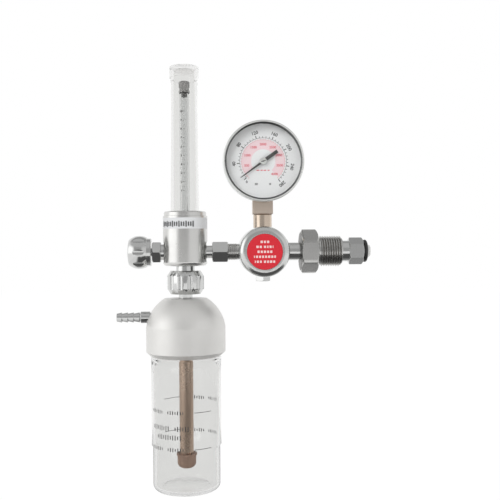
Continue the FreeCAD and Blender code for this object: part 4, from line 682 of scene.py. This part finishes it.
def lettering(text: str, size: float, depth: float = 0.02, weight: float = 0.09) -> BMesh:
    """Make a plain number as a thin mesh.

    Args:
        text: Digits to write.
        size: Height of the text's line.
        depth: Thickness of the ink.
        weight: How much the strokes are thickened.

    Returns:
        The number in the XY plane, centred on the origin and facing +Z.
    """
    curve = bpy.data.curves.new("number", "FONT")
    curve.body = text
    curve.size = size
    curve.align_x = "CENTER"
    curve.align_y = "CENTER"
    curve.extrude = depth / 2
    curve.offset = weight
    curve.resolution_u = 3
    holder = placed("number", curve)
    bpy.context.view_layer.update()
    mesh = bpy.data.meshes.new_from_object(holder)
    bpy.data.objects.remove(holder)
    bpy.data.curves.remove(curve)
    bm = bmesh.new()
    pour(bm, mesh)
    return bm


def bar(width: float, height: float, depth: float = 0.02, cuts: int = 0) -> BMesh:
    """Make a flat printed bar in the XY plane, centred on the origin.

    Args:
        width: Size along X.
        height: Size along Y.
        depth: Thickness of the ink.
        cuts: Cuts across the long side, so that the bar can bend.

    Returns:
        The bar.
    """
    bm = bmesh.new()
    bmesh.ops.create_cube(bm, size=1.0, matrix=Matrix.Diagonal((width, height, depth, 1.0)))
    if cuts:
        across = [edge for edge in bm.edges if abs(edge.verts[0].co.x - edge.verts[1].co.x) > width / 2]
        bmesh.ops.subdivide_edges(bm, edges=across, cuts=cuts, use_grid_fill=True)
    return bm


@dataclass
class Print:
    """Ink of one colour on one surface, gathered from marks before it is placed."""

    bm: BMesh = field(default_factory=bmesh.new)

    def add(self, mark: BMesh, across: float = 0.0, up: float = 0.0, turn: float = 0.0) -> None:
        """Add a mark and free it.

        Args:
            mark: Mark round the origin of the XY plane.
            across: Place along X.
            up: Place along Y.
            turn: Turn of the mark in radians.
        """
        mark.transform(Matrix.Translation((across, up, 0)) @ Matrix.Rotation(turn, 4, "Z"))
        mesh = bpy.data.meshes.new("mark")
        mark.to_mesh(mesh)
        mark.free()
        pour(self.bm, mesh)

    def on_plane(self, matrix: Matrix) -> BMesh:
        """Return the marks placed by a matrix and turned to metres."""
        self.bm.transform(Matrix.Scale(MM, 4) @ matrix)
        return self.bm

    def round_cylinder(self, centre_x: float, radius: float) -> BMesh:
        """Wrap the marks round an upright cylinder.

        Args:
            centre_x: Place of the cylinder's axis along X.
            radius: Radius that the ink lies on.

        Returns:
            The marks in metres. A mark's X is its way round from the front and its Y is its height.
        """
        for vertex in self.bm.verts:
            around, height, out = vertex.co.x / radius, vertex.co.y, radius + vertex.co.z
            place = Vector((centre_x + out * math.sin(around), -out * math.cos(around), height))
            vertex.co = place * MM
        return self.bm


@dataclass
class Inlet:
    """Nut, stem and nose that screw into the cylinder valve."""

    hex_flats: float = 29.0
    hex_start: float = -29.8
    hex_end: float = -16.8
    hex_chamfer: float = 1.5
    groove_r: float = 10.55
    groove_start: float = -14.9
    groove_end: float = -14.6
    thread_crest: float = 11.45
    thread_root: float = 10.35
    lead_end: float = 1.4
    pitch: float = 1.814
    mouth_r: float = 8.05
    mouth_floor: float = -3.1
    bore_r: float = 6.85
    # Height above the thread's root that gets painted shade.
    root_shade_height: float = 0.1

    def nut(self) -> None:
        """Make the hexagon nut with its turned relief groove and its core below the thread."""
        corner = self.hex_flats / math.sqrt(3) - 0.2
        flat = self.hex_flats / 2 - 0.6
        back = [
            (self.hex_start + self.hex_chamfer * share, flat + (corner - flat) * share ** 0.8)
            for share in (index / 7 for index in range(8))
        ]
        front = [(self.hex_start + self.hex_end - along, radius) for along, radius in reversed(back)]
        core = self.thread_root - 0.05
        outline = back + [((self.hex_start + self.hex_end) / 2, corner)] + front + [
            (self.hex_end, self.groove_r), (self.groove_start, self.groove_r), (self.groove_end, core),
            (0.0, core), (self.lead_end, core - 0.35), (self.lead_end, self.mouth_r),
            (self.mouth_floor, self.mouth_r), (self.mouth_floor, self.bore_r), (self.hex_start, self.bore_r),
        ]
        bm = turned(outline, INLET, edge_mm=0.0)
        hexed(bm, INLET, self.hex_flats, self.hex_start, self.hex_end)
        break_edges(bm, sharp_edges(bm, 50.0), 0.2)
        bm.normal_update()
        # Faces that look back towards the regulator get the darkened chromium: painted shade.
        for face in bm.faces:
            face.material_index = int(face.normal.x < -0.9)
        SHOP.finished(
            "hexagon_nut", bm, [SATIN_CHROME, NUT_BACK_SHADE_CHROME], "cylinder_nut", ["inlet_nut"], 22.0,
        )

    def build(self) -> None:
        """Build and dress the inlet."""
        self.nut()
        threaded(
            "inlet_thread", "cylinder_nut", INLET, self.groove_end, 0.3, self.thread_root,
            self.thread_crest, self.pitch, self.root_shade_height,
        )
        SHOP.dress((
            ("inlet_stem", CHROME, "plain_stem", "chrome", 0.2, "main"),
            ("inlet_nipple", CHROME, "nose_with_hexagon", "chrome", 0.2, "main"),
            ("inlet_filter", FILTER_SINTER, "sintered_tip", "filter_white", 0.3, "main"),
            ("inlet_o_ring", NITRILE, "nose_seal", "rubber_black", 0.0, "main"),
        ))


@dataclass
class Regulator:
    """Pressure regulator with its red face, relief valve and union."""

    label_r: float = 13.05
    label_back: float = 23.15
    label_front: float = 23.9
    stub_crest: float = 6.25
    stub_root: float = 5.9
    stub_pitch: float = 1.4
    stub_start: float = 32.3
    stub_end: float = 38.6
    # Height above the thread's root that gets painted shade.
    root_shade_height: float = 0.17
    rows: tuple[tuple[float, ...], ...] = (
        (1.7, 1.5, 1.6), (1.7, 1.5, 0.0, 1.6, 1.0, 1.5, 0.6), (1.6, 1.5, 1.6, 1.5, 1.6),
        (0.7, 1.5, 1.4, 1.4, 1.5, 1.6, 1.4, 1.2), (0.7, 1.5, 1.4, 0.0, 1.6, 1.3, 1.7, 1.4),
    )
    row_top: float = 7.2
    row_step: float = 3.6
    dash_h: float = 1.7
    dash_gap: float = 0.75

    def label(self) -> None:
        """Make the red face plate with rows of plain pale dashes where print belongs."""
        bm = turned(
            [
                (self.label_back, 0.0), (self.label_back, self.label_r), (self.label_front, self.label_r),
                (self.label_front, 0.0),
            ],
            REGULATOR, edge_mm=0.2, closed=False,
        )
        SHOP.finished("red_face", bm, [LABEL_LACQUER], "main", ["label_disc"])
        marks = Print()
        for row, widths in enumerate(self.rows):
            place = -(sum(widths) + self.dash_gap * (len(widths) - 1)) / 2
            for width in widths:
                if width:
                    marks.add(bar(width, self.dash_h), place + width / 2, self.row_top - row * self.row_step)
                place += width + self.dash_gap
        stand = Matrix.Translation((REGULATOR_X, -self.label_front - 0.01, 0)) @ UPRIGHT
        SHOP.finished("face_dashes", marks.on_plane(stand), [INK_WHITE], "main")

    def springs(self) -> None:
        """Make copies of the springs and the diaphragm, each with a mesh of its own."""
        for node, name, finish, slot, joint, axis, travel_mm in (
            ("main_spring", "main_spring_coil", BRIGHT_STEEL, "steel", "regulating_move", 1, 0.5),
            ("diaphragm", "rubber_diaphragm", NITRILE, "rubber_black", "regulating_move", 1, 0.5),
            ("relief_spring", "relief_spring_coil", BRIGHT_STEEL, "steel", "relief_lift", 2, 1.0),
        ):
            piece = SHOP.finished(name, refined(node, 0.0), [finish], "main", [node])
            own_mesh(piece)

    def build(self) -> None:
        """Build and dress the regulator."""
        self.label()
        threaded(
            "stub_thread", "main", UNION, self.stub_start, self.stub_end, self.stub_root, self.stub_crest,
            self.stub_pitch, self.root_shade_height,
        )
        self.springs()
        SHOP.dress((
            ("regulator_body", CHROME, "regulator_shell", "chrome", 0.2, "main"),
            ("bonnet", POLISHED_SHOULDER, "regulator_bonnet", "chrome", 0.2, "main"),
            ("relief_valve", CHROME, "relief_shell", "chrome", 0.2, "main"),
            ("outlet_stub", SATIN_CHROME, "outlet_stub_turned", "chrome", 0.15, "main"),
            ("coupling_nut", CHROME, "union_nut", "chrome", 0.2, "main"),
            ("coupling_tail", CHROME, "union_tail", "chrome", 0.15, "main"),
        ))
        SHOP.paint({
            "adjusting_screw": BRIGHT_STEEL, "spring_button": BRIGHT_STEEL, "diaphragm_plate": MOVEMENT_BRASS,
            "valve_seat": MOVEMENT_BRASS, "valve_poppet": MOVEMENT_BRASS, "poppet_spring": BRIGHT_STEEL,
            "relief_poppet": NITRILE,
        })


@dataclass
class Gauge:
    """Pressure gauge with its printed dial and pointer."""

    dial_front: float = 11.6
    zero_deg: float = -134.0
    step_deg: float = 39.15
    outer_numbers: tuple[str, ...] = ("40", "80", "120", "160", "200", "240", "280")
    inner_zero_deg: float = -139.0
    inner_step_deg: float = 34.7
    inner_numbers: tuple[str, ...] = ("500", "1000", "1500", "2000", "2500", "3000", "3500", "4000")
    tick_r: float = 17.4
    number_r: float = 21.7
    inner_number_r: float = 12.6
    number_size: float = 3.4
    inner_number_size: float = 2.5
    # Width and height of a tick.
    long_tick: tuple[float, float] = (0.6, 2.2)
    short_tick: tuple[float, float] = (0.4, 1.2)
    inner_ticks: int = 41
    inner_tick_deg: float = 6.94
    # Place and width of the bars that stand for the print low on the dial.
    low_bars: tuple[tuple[float, float], ...] = ((-5.2, 2.4), (5.0, 1.6))
    red_bars: tuple[tuple[float, float], ...] = ((-4.0, 2.2), (-1.2, 1.6), (1.2, 2.0), (3.9, 1.5))
    ring: tuple[float, float] = (9.0, 16.0)
    ink_t: float = 0.016
    rim_r: float = 30.0
    rim_front: float = 18.5
    rim_depth: float = 6.2
    rim_inner_r: float = 29.05
    lip_r: float = 28.6
    window_r: float = 27.3
    flank: float = 1.2

    def rim(self) -> None:
        """Make the rolled bezel, with its inner flank down to the window darkened as painted shade."""
        back, foot = self.rim_front - self.rim_depth, self.rim_front - self.flank
        bm = turned(
            [
                (back, self.rim_inner_r), (back, self.rim_r), (self.rim_front, self.rim_r),
                (self.rim_front, self.lip_r), (foot, self.window_r), (foot - 0.08, self.window_r),
                (foot - 0.08, self.rim_inner_r),
            ],
            GAUGE, rounds={2: 1.0, 3: 0.3}, edge_mm=0.1, steps=144,
        )
        across, _, up = GAUGE.origin
        # Faces of the inner flank get the dark steel: a painted shadow ring.
        for face in bm.faces:
            centre = face.calc_center_median() / MM
            out = math.hypot(centre.x - across, centre.z - up)
            face.material_index = int(out < self.lip_r - 0.1 and -centre.y > foot - 0.05)
        SHOP.finished("gauge_rim", bm, [GAUGE_STEEL, FLANK_SHADE_STEEL], "main", ["gauge_bezel"])

    def face(self, forward: float) -> Matrix:
        """Return the matrix that puts ink before the gauge, so many millimetres from the origin."""
        across, _, up = GAUGE.origin
        return Matrix.Translation((across, -forward, up)) @ UPRIGHT

    def arc(self, inner: float, outer: float, first: float, last: float) -> BMesh:
        """Make a printed arc.

        Args:
            inner: Inner radius.
            outer: Outer radius.
            first: Start in degrees clockwise from the top.
            last: End in degrees clockwise from the top.

        Returns:
            The arc in the XY plane.
        """
        low, high = -self.ink_t / 2, self.ink_t / 2
        bm = spun(
            [(low, inner), (low, outer), (high, outer), (high, inner)], -math.radians(last - first),
            max(8, int((last - first) / 4)), unit=1.0,
        )
        bm.transform(Matrix.Rotation(math.radians(90 - first), 4, "Z"))
        bmesh.ops.holes_fill(bm, edges=[edge for edge in bm.edges if edge.is_boundary], sides=4)
        bmesh.ops.recalc_face_normals(bm, faces=bm.faces)
        return bm

    def around(self, degrees: float, radius: float, upright: bool = False) -> tuple[float, float, float]:
        """Return a mark's place across and up the dial and its turn, from its degrees from the top."""
        angle = math.radians(degrees)
        return radius * math.sin(angle), radius * math.cos(angle), 0.0 if upright else -angle

    def outer_scale(self) -> None:
        """Print the black scale with its numbers and ticks."""
        ink = Print()
        last = self.zero_deg + self.step_deg * len(self.outer_numbers)
        ink.add(self.arc(self.tick_r - 0.12, self.tick_r + 0.12, self.zero_deg, last))
        for index in range(len(self.outer_numbers) * 5 + 1):
            width, height = self.short_tick if index % 5 else self.long_tick
            angle = self.zero_deg + index * self.step_deg / 5
            ink.add(bar(width, height), *self.around(angle, self.tick_r + height / 2))
        for index, text in enumerate(self.outer_numbers):
            angle = self.zero_deg + (index + 1) * self.step_deg
            ink.add(lettering(text, self.number_size), *self.around(angle, self.number_r))
        ink.add(lettering("0", 2.6), *self.around(-141.0, 19.6, True))
        for place, width in self.low_bars:
            for height in (-16.3, -17.25):
                ink.add(bar(width, 0.5), place, height)
        SHOP.finished("dial_scale", ink.on_plane(self.face(self.dial_front + 0.02)), [INK_BLACK], "main")

    def inner_scale(self) -> None:
        """Print the pink ring with its red numbers."""
        ring = Print()
        ring.add(self.arc(*self.ring, self.inner_zero_deg + 12, 136.0))
        SHOP.finished("dial_ring", ring.on_plane(self.face(self.dial_front + 0.02)), [INK_PINK], "main")
        ink = Print()
        for index, text in enumerate(self.inner_numbers):
            angle = self.inner_zero_deg + (index + 1) * self.inner_step_deg
            ink.add(
                lettering(text, self.inner_number_size, 0.05), *self.around(angle, self.inner_number_r, True)
            )
        ink.add(self.arc(15.9, 16.1, self.inner_zero_deg, 139.0))
        for index in range(self.inner_ticks):
            angle = self.inner_zero_deg + index * self.inner_tick_deg
            ink.add(bar(0.2, 0.9, 0.03), *self.around(angle, 16.5))
        for place, width in self.red_bars:
            ink.add(bar(width, 0.8), place, -6.6)
        SHOP.finished("dial_red_scale", ink.on_plane(self.face(self.dial_front + 0.02)), [INK_RED], "main")

    def pointer(self) -> None:
        """Make the black pointer with its bright hub and the slot in it."""
        across, _, up = GAUGE.origin
        bm = refined("pointer", 0.05)
        for face in bm.faces:
            centre = face.calc_center_median() / MM
            near = math.hypot(centre.x - across, centre.z - up) < 2.62
            face.material_index = int(near and centre.y < -13.4)
        SHOP.finished(
            "pointer_with_hub", bm, [POINTER_BLACK, GAUGE_STEEL], "gauge_hand", ["pointer"],
        )
        slot = Print()
        slot.add(bar(3.6, 0.55, 0.05), turn=math.radians(20))
        stand = self.face(0.02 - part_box("pointer")[0].y / MM)
        SHOP.finished("hub_slot", slot.on_plane(stand), [INK_GREY], "gauge_hand")

    def build(self) -> None:
        """Build and dress the gauge."""
        SHOP.dress((
            ("gauge_adapter", WARM_NICKEL, "gauge_adapter_turned", "nickel", 0.2, "main"),
            ("gauge_socket", SOCKET_NICKEL, "gauge_socket_block", "nickel", 0.2, "main"),
            ("gauge_case", GAUGE_STEEL, "gauge_shell", "gauge_steel", 0.2, "main"),
            ("gauge_lens", LENS_GLASS, "gauge_window", "lens_clear", 0.0, "main"),
            ("gauge_dial", DIAL_ENAMEL, "dial_sheet", "dial_white", 0.0, "main"),
        ))
        self.rim()
        self.outer_scale()
        self.inner_scale()
        self.pointer()
        SHOP.paint({
            "lens_gasket": NITRILE, "bourdon_tube": MOVEMENT_BRASS, "bourdon_tip": MOVEMENT_BRASS,
            "link": BRIGHT_STEEL, "sector_gear": MOVEMENT_BRASS, "pinion_shaft": BRIGHT_STEEL,
            "hairspring": MOVEMENT_BRASS, "movement_frame": MOVEMENT_BRASS, "movement_plate": MOVEMENT_BRASS,
        })


@dataclass
class Flowmeter:
    """Flowmeter body with its clear tube, float and printed band."""

    band_r: float = 16.97
    band_z: float = 20.9
    band_first: float = -19.8
    band_step: float = 1.75
    meter_r: float = 3.82
    scale_z: float = 46.0
    scale_step: float = 6.6
    roof_z: float = 135.8
    marks: tuple[str, ...] = ("1", "2", "3", "4", "5", "6", "7", "8", "9", "10")

    def band_marks(self) -> None:
        """Print a row of plain upright strokes where the band carries words."""
        ink = Print()
        for index in range(16):
            place = self.band_first + index * self.band_step
            ink.add(bar(0.8, 3.1 if index % 3 else 4.3), place, self.band_z)
        SHOP.finished("band_blocks", ink.round_cylinder(FLOW_X, self.band_r), [INK_BLACK], "main")

    def cover(self) -> None:
        """Dress the clear cover, whose roof is frosted."""
        bm = refined("flow_tube_cover", 0.0)
        for face in bm.faces:
            face.material_index = int(face.calc_center_median().z > self.roof_z * MM)
        SHOP.finished(
            "clear_cover", bm, [CLEAR_COVER, FROSTED_ROOF], "main", ["flow_tube_cover"],
        )

    def scale(self) -> None:
        """Print the flow scale on the metering tube."""
        ink = Print()
        for index, text in enumerate(self.marks):
            height = self.scale_z + index * self.scale_step
            ink.add(bar(1.5, 0.3, cuts=3), -0.5, height)
            ink.add(bar(0.8, 0.2, cuts=2), -0.2, height + self.scale_step / 2)
            ink.add(lettering(text, 2.4), -2.6, height)
        SHOP.finished("flow_scale", ink.round_cylinder(FLOW_X, self.meter_r), [INK_GREY], "main")

    def build(self) -> None:
        """Build and dress the flowmeter."""
        SHOP.dress((
            ("flowmeter_body", BRUSHED_CHROME, "flowmeter_shell", "chrome", 0.25, "main"),
            ("name_band", BAND_FILM, "grey_band", "band_grey", 0.0, "main"),
            ("tube_retaining_ring", BRUSHED_CHROME, "tube_ring", "chrome", 0.25, "main"),
            ("metering_tube", CLEAR_TUBE, "clear_metering_tube", "clear_plastic", 0.0, "main"),
            ("tube_plug", PLUG_PLASTIC, "faceted_plug", "plug_dark", 0.1, "main"),
            ("float_ball", BRIGHT_STEEL, "steel_ball", "steel", 0.0, "float"),
            ("valve_gland", CHROME, "gland_nut", "chrome", 0.2, "main"),
            ("outlet_nipple", CHROME, "outlet_neck", "chrome", 0.2, "main"),
            ("flow_knob", CHROME, "fluted_knob", "chrome", 0.2, "flow_control"),
        ))
        self.cover()
        self.band_marks()
        self.scale()
        SHOP.paint({"tube_seal_ring": NITRILE, "needle_spindle": BRIGHT_STEEL, "spindle_o_ring": NITRILE})


@dataclass
class Humidifier:
    """Humidifier head, dip tube and clear bottle with its printed levels."""

    bottle_r: float = 26.25
    front_levels: tuple[float, float] = (-115.9, -142.6)
    back_levels: tuple[float, float] = (-112.0, -138.7)
    stroke_w: float = 0.7
    stroke_gap: float = 1.2

    def stroke_row(
        self, ink: Print, height: float, first_deg: float, words: Sequence[int], tall: float
    ) -> None:
        """Print a row of plain upright strokes round the bottle.

        Args:
            ink: Ink that gets the row.
            height: Height of the row.
            first_deg: Where the row starts, in degrees from the front.
            words: Number of strokes in each group.
            tall: Height of a stroke.
        """
        place = math.radians(first_deg) * self.bottle_r
        for count in words:
            for index in range(count):
                reach = tall if index % 3 else tall * 0.7
                ink.add(bar(self.stroke_w, reach), place, height)
                place += self.stroke_w + self.stroke_gap
            place += 3 * self.stroke_gap

    def level(self, ink: Print, height: float, first_deg: float, last_deg: float) -> None:
        """Print a level line round part of the bottle.

        Args:
            ink: Ink that gets the line.
            height: Height of the line.
            first_deg: Where the line starts, in degrees from the front.
            last_deg: Where the line ends.
        """
        middle = math.radians((first_deg + last_deg) / 2) * self.bottle_r
        width = math.radians(last_deg - first_deg) * self.bottle_r
        ink.add(bar(width, 0.4, cuts=14), middle, height)

    def levels(self) -> None:
        """Print the two level lines, twice round the bottle, with rows of plain strokes beside them."""
        ink = Print()
        for turn, levels in ((0.0, self.front_levels), (180.0, self.back_levels)):
            for height in levels:
                self.level(ink, height, turn + 14, turn + 44)
                self.stroke_row(ink, height, turn - 66, (7, 7), 2.7)
        for height, first, words in ((-127.4, -62, (9, 6)), (-133.8, -50, (11,))):
            self.stroke_row(ink, height, first, words, 3.6)
        skin = ink.round_cylinder(FLOW_X, self.bottle_r + 0.02)
        SHOP.finished("bottle_levels", skin, [INK_GREY], "water_bottle")

    def build(self) -> None:
        """Build and dress the humidifier."""
        SHOP.dress((
            ("hand_nut", CHROME, "fluted_hand_nut", "chrome", 0.2, "humidifier_nut"),
            ("humidifier_spigot", CHROME, "spigot_turned", "chrome", 0.2, "humidifier"),
            ("humidifier_cap", CAP_ALUMINIUM, "dome_cap", "cap_aluminium", 0.25, "humidifier"),
            ("hose_barb", CHROME, "barbed_outlet", "chrome", 0.15, "humidifier"),
            ("dip_tube", TUBE_NICKEL, "long_dip_tube", "nickel", 0.2, "humidifier"),
            ("diffuser", DIFFUSER_BRONZE, "porous_diffuser", "diffuser_bronze", 0.2, "humidifier"),
            ("bottle", CLEAR_PLASTIC, "clear_bottle", "clear_plastic", 0.0, "water_bottle"),
        ))
        self.levels()
        SHOP.paint({"spigot_seal": NITRILE, "bottle_seal": NITRILE})


@dataclass
class Studio:
    """Floor, light and camera."""

    floor_z: float = -177.4
    camera_mm: tuple[float, float, float] = (-98.4, -585.7, 4.9)
    heading_deg: float = -2.99
    pitch_deg: float = -0.36
    roll_deg: float = -0.4
    lens_mm: float = 55.9
    # Parts of the sky that metal mirrors: part of the direction, where the zone begins, width of its soft
    # edge (negative where the zone lies below), brightness, and whether it is only in front.
    zones: tuple[tuple[str, float, float, float, bool], ...] = (
        ("Z", 0.55, 0.25, 0.4, False),
        ("Y", 0.25, -0.3, 0.44, False),
        ("X", -0.5, -0.28, 1.6, True),
        ("X", 0.22, 0.2, 0.78, True),
        ("Z", 0.45, 0.25, 0.6, True),
        ("Z", -0.36, -0.16, 0.035, True),
    )
    # The card's brightness: part of the place, first and last of a range in metres, and brightness at both.
    card_ends: tuple[tuple[str, float, float, float, float], ...] = (
        ("Y", -0.04, 0.06, 0.1, 0.32), ("X", -0.16, -0.24, 0.0, 0.95),
    )
    # What dull surfaces get from the sky, and its least brightness and the card's seen through plastic.
    room_level: float = 0.62
    sky_through_plastic: float = 0.65
    card_through_plastic: float = 0.8
    # The floor's brightness, and how much of what is seen of it is glow and not paper.
    floor_white: float = 1.03
    floor_share: float = 0.94

    def sky(self) -> None:
        """Make the surroundings: plain white, but soft boxes and dark zones for what metal mirrors."""
        world = bpy.data.worlds.new("studio")
        bpy.context.scene.world = world
        world.use_nodes = True
        tree = world.node_tree
        tree.nodes.clear()
        heading = add_node(tree, "TexCoord").outputs["Generated"]
        parts = add_node(tree, "SeparateXYZ", inputs={0: heading}).outputs
        front = add_node(
            tree, "MapRange", interpolation_type="SMOOTHSTEP",
            inputs=(parts["Y"], 0.25, -0.05),
        ).outputs["Result"]
        level = 1.0
        for part, edge, soft, brightness, in_front in self.zones:
            mask = add_node(
                tree, "MapRange", interpolation_type="SMOOTHSTEP",
                inputs=(parts[part], edge, edge + soft),
            ).outputs["Result"]
            if in_front:
                mask = add_node(tree, "Math", operation="MULTIPLY", inputs=(mask, front)).outputs[0]
            level = add_node(
                tree, "Mix", data_type="FLOAT", inputs={0: mask, 2: level, 3: brightness}
            ).outputs[0]
        least = add_node(
            tree, "Math", operation="MULTIPLY",
            inputs=(past(tree, "Transmission Depth"), self.sky_through_plastic),
        ).outputs[0]
        level = add_node(tree, "Math", operation="MAXIMUM", inputs=(level, least)).outputs[0]
        mirrored = past(tree, "Glossy Depth")
        level = add_node(
            tree, "Mix", data_type="FLOAT", inputs={0: mirrored, 2: self.room_level, 3: level}
        ).outputs[0]
        path = add_node(tree, "LightPath").outputs
        through = add_node(
            tree, "Math", operation="SUBTRACT", use_clamp=True,
            inputs=(path["Is Transmission Ray"], mirrored),
        ).outputs[0]
        plain = add_node(
            tree, "Math", operation="MAXIMUM", inputs=(path["Is Camera Ray"], through)
        ).outputs[0]
        level = add_node(tree, "Mix", data_type="FLOAT", inputs={0: plain, 2: level, 3: 1.0}).outputs[0]
        shade = add_node(tree, "Background", inputs={"Color": WHITE, "Strength": level})
        add_node(tree, "OutputWorld", inputs={"Surface": shade.outputs[0]})

    def floor_glow(self, tree: NodeTree) -> NodeSocket:
        """Work out how strongly the floor glows.

        Args:
            tree: The floor's tree.

        Returns:
            Plain white, but darker to the right for metal behind plastic that mirrors the floor in front.
        """
        place = add_node(tree, "TexCoord").outputs["Object"]
        parts = add_node(tree, "SeparateXYZ", inputs={0: place}).outputs
        share = add_node(
            tree, "MapRange", interpolation_type="SMOOTHSTEP",
            inputs=(parts["Y"], -0.03, -0.1),
        ).outputs["Result"]
        for count in ("Glossy Depth", "Transmission Depth"):
            rays = past(tree, count)
            share = add_node(tree, "Math", operation="MULTIPLY", inputs=(share, rays)).outputs[0]
        shaded = add_node(
            tree, "MapRange", interpolation_type="SMOOTHSTEP",
            inputs=(parts["X"], -0.3, -0.16, 1.25, 0.42),
        ).outputs["Result"]
        mixed = add_node(tree, "Mix", data_type="FLOAT", inputs={0: share, 2: self.floor_white, 3: shaded})
        return mixed.outputs[0]

    def floor(self) -> None:
        """Make the pale floor, which shows as the background and keeps the object's shadow."""
        material, tree = bare_material("pale_studio_floor")
        white = add_node(tree, "Emission", inputs={"Color": WHITE, "Strength": self.floor_glow(tree)})
        paper = add_node(tree, "BsdfDiffuse", inputs={"Color": linear("#F4F4F3")})
        path = add_node(tree, "LightPath").outputs
        share = path["Is Camera Ray"]
        for kind in ("Is Transmission Ray", "Is Glossy Ray"):
            share = add_node(tree, "Math", operation="MAXIMUM", inputs=(share, path[kind])).outputs[0]
        share = add_node(tree, "Math", operation="MULTIPLY", inputs=(share, self.floor_share)).outputs[0]
        mixed = add_node(tree, "MixShader", inputs=(share, paper.outputs[0], white.outputs[0]))
        add_node(tree, "OutputMaterial", inputs={"Surface": mixed.outputs[0]})
        self.sheet("floor", material, 2.5, Matrix.Translation((0, 0, self.floor_z * MM)))

    def card(self) -> None:
        """Lay a card under and before the object, dark but for its left end, that only metal mirrors."""
        material, tree = bare_material("dark_studio_card")
        place = add_node(tree, "TexCoord").outputs["Object"]
        parts = add_node(tree, "SeparateXYZ", inputs={0: place}).outputs
        strength = add_node(
            tree, "Math", operation="MULTIPLY",
            inputs=(past(tree, "Transmission Depth"), self.card_through_plastic),
        ).outputs[0]
        for part, first, last, dim, bright in self.card_ends:
            glow = add_node(
                tree, "MapRange", interpolation_type="SMOOTHSTEP",
                inputs=(parts[part], first, last, dim, bright),
            ).outputs["Result"]
            strength = add_node(tree, "Math", operation="MAXIMUM", inputs=(strength, glow)).outputs[0]
        shade = add_node(tree, "Emission", inputs={"Color": WHITE, "Strength": strength})
        add_node(tree, "OutputMaterial", inputs={"Surface": shade.outputs[0]})
        stand = Matrix.Translation((-0.08, -0.1, self.floor_z * MM + 0.0003))
        card = self.sheet("dark_card", material, 0.22, stand @ Matrix.Diagonal((1.3, 1.0, 1.0, 1.0)))
        for kind in ("camera", "diffuse", "transmission", "shadow", "volume_scatter"):
            setattr(card, "visible_" + kind, False)

    def sheet(self, name: str, material: Material, size: float, stand: Matrix) -> Object:
        """Make a flat piece of studio equipment, which isn't part of the object.

        Args:
            name: Name of the piece.
            material: Its material.
            size: Half of its side in metres.
            stand: Where it lies.

        Returns:
            The new piece.
        """
        bm = bmesh.new()
        bmesh.ops.create_grid(bm, x_segments=2, y_segments=2, size=size, matrix=stand)
        mesh = bpy.data.meshes.new(name)
        bm.to_mesh(mesh)
        bm.free()
        mesh.materials.append(material)
        piece = placed(name, mesh)
        return piece

    def lamp(self, name: str, place: tuple[float, float, float], size: float, power: float) -> None:
        """Add a soft square lamp that looks at the object's middle.

        Args:
            name: Name of the lamp.
            place: Place in metres.
            size: Side in metres.
            power: Power in watts.
        """
        light = bpy.data.lights.new(name, "AREA")
        light.size = size
        light.energy = power
        holder = placed(name, light)
        holder.location = place
        aim = Vector((-0.075, 0.0, -0.02)) - holder.location
        holder.rotation_euler = aim.to_track_quat("-Z", "Y").to_euler()
        holder.visible_glossy = False

    def camera(self) -> None:
        """Make the camera at the photograph's place and angle."""
        data = bpy.data.cameras.new("camera")
        data.lens = self.lens_mm
        data.sensor_width = 36.0
        data.clip_start = 0.01
        holder = placed("camera", data)
        holder.location = Vector(self.camera_mm) * MM
        tilt = Matrix.Rotation(math.radians(90 + self.pitch_deg), 4, "X")
        roll = Matrix.Rotation(math.radians(self.roll_deg), 4, "Z")
        heading = Matrix.Rotation(math.radians(self.heading_deg), 4, "Z")
        holder.rotation_euler = (heading @ tilt @ roll).to_euler()
        bpy.context.scene.camera = holder

    def build(self) -> None:
        """Build the studio."""
        bpy.context.scene.view_settings.view_transform = "Standard"
        self.sky()
        self.floor()
        self.card()
        self.lamp("key_lamp", (-0.75, -0.8, 0.65), 0.6, 6.0)
        self.lamp("fill_lamp", (0.8, -0.9, 0.3), 0.7, 2.5)
        self.camera()


def main() -> None:
    """Build the whole object."""
    logging.basicConfig(level=logging.INFO)
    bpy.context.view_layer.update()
    for part in (Studio(), Inlet(), Regulator(), Gauge(), Flowmeter(), Humidifier()):
        part.build()
        LOG.info("finished %s", type(part).__name__)


if __name__ == "__main__":
    main()
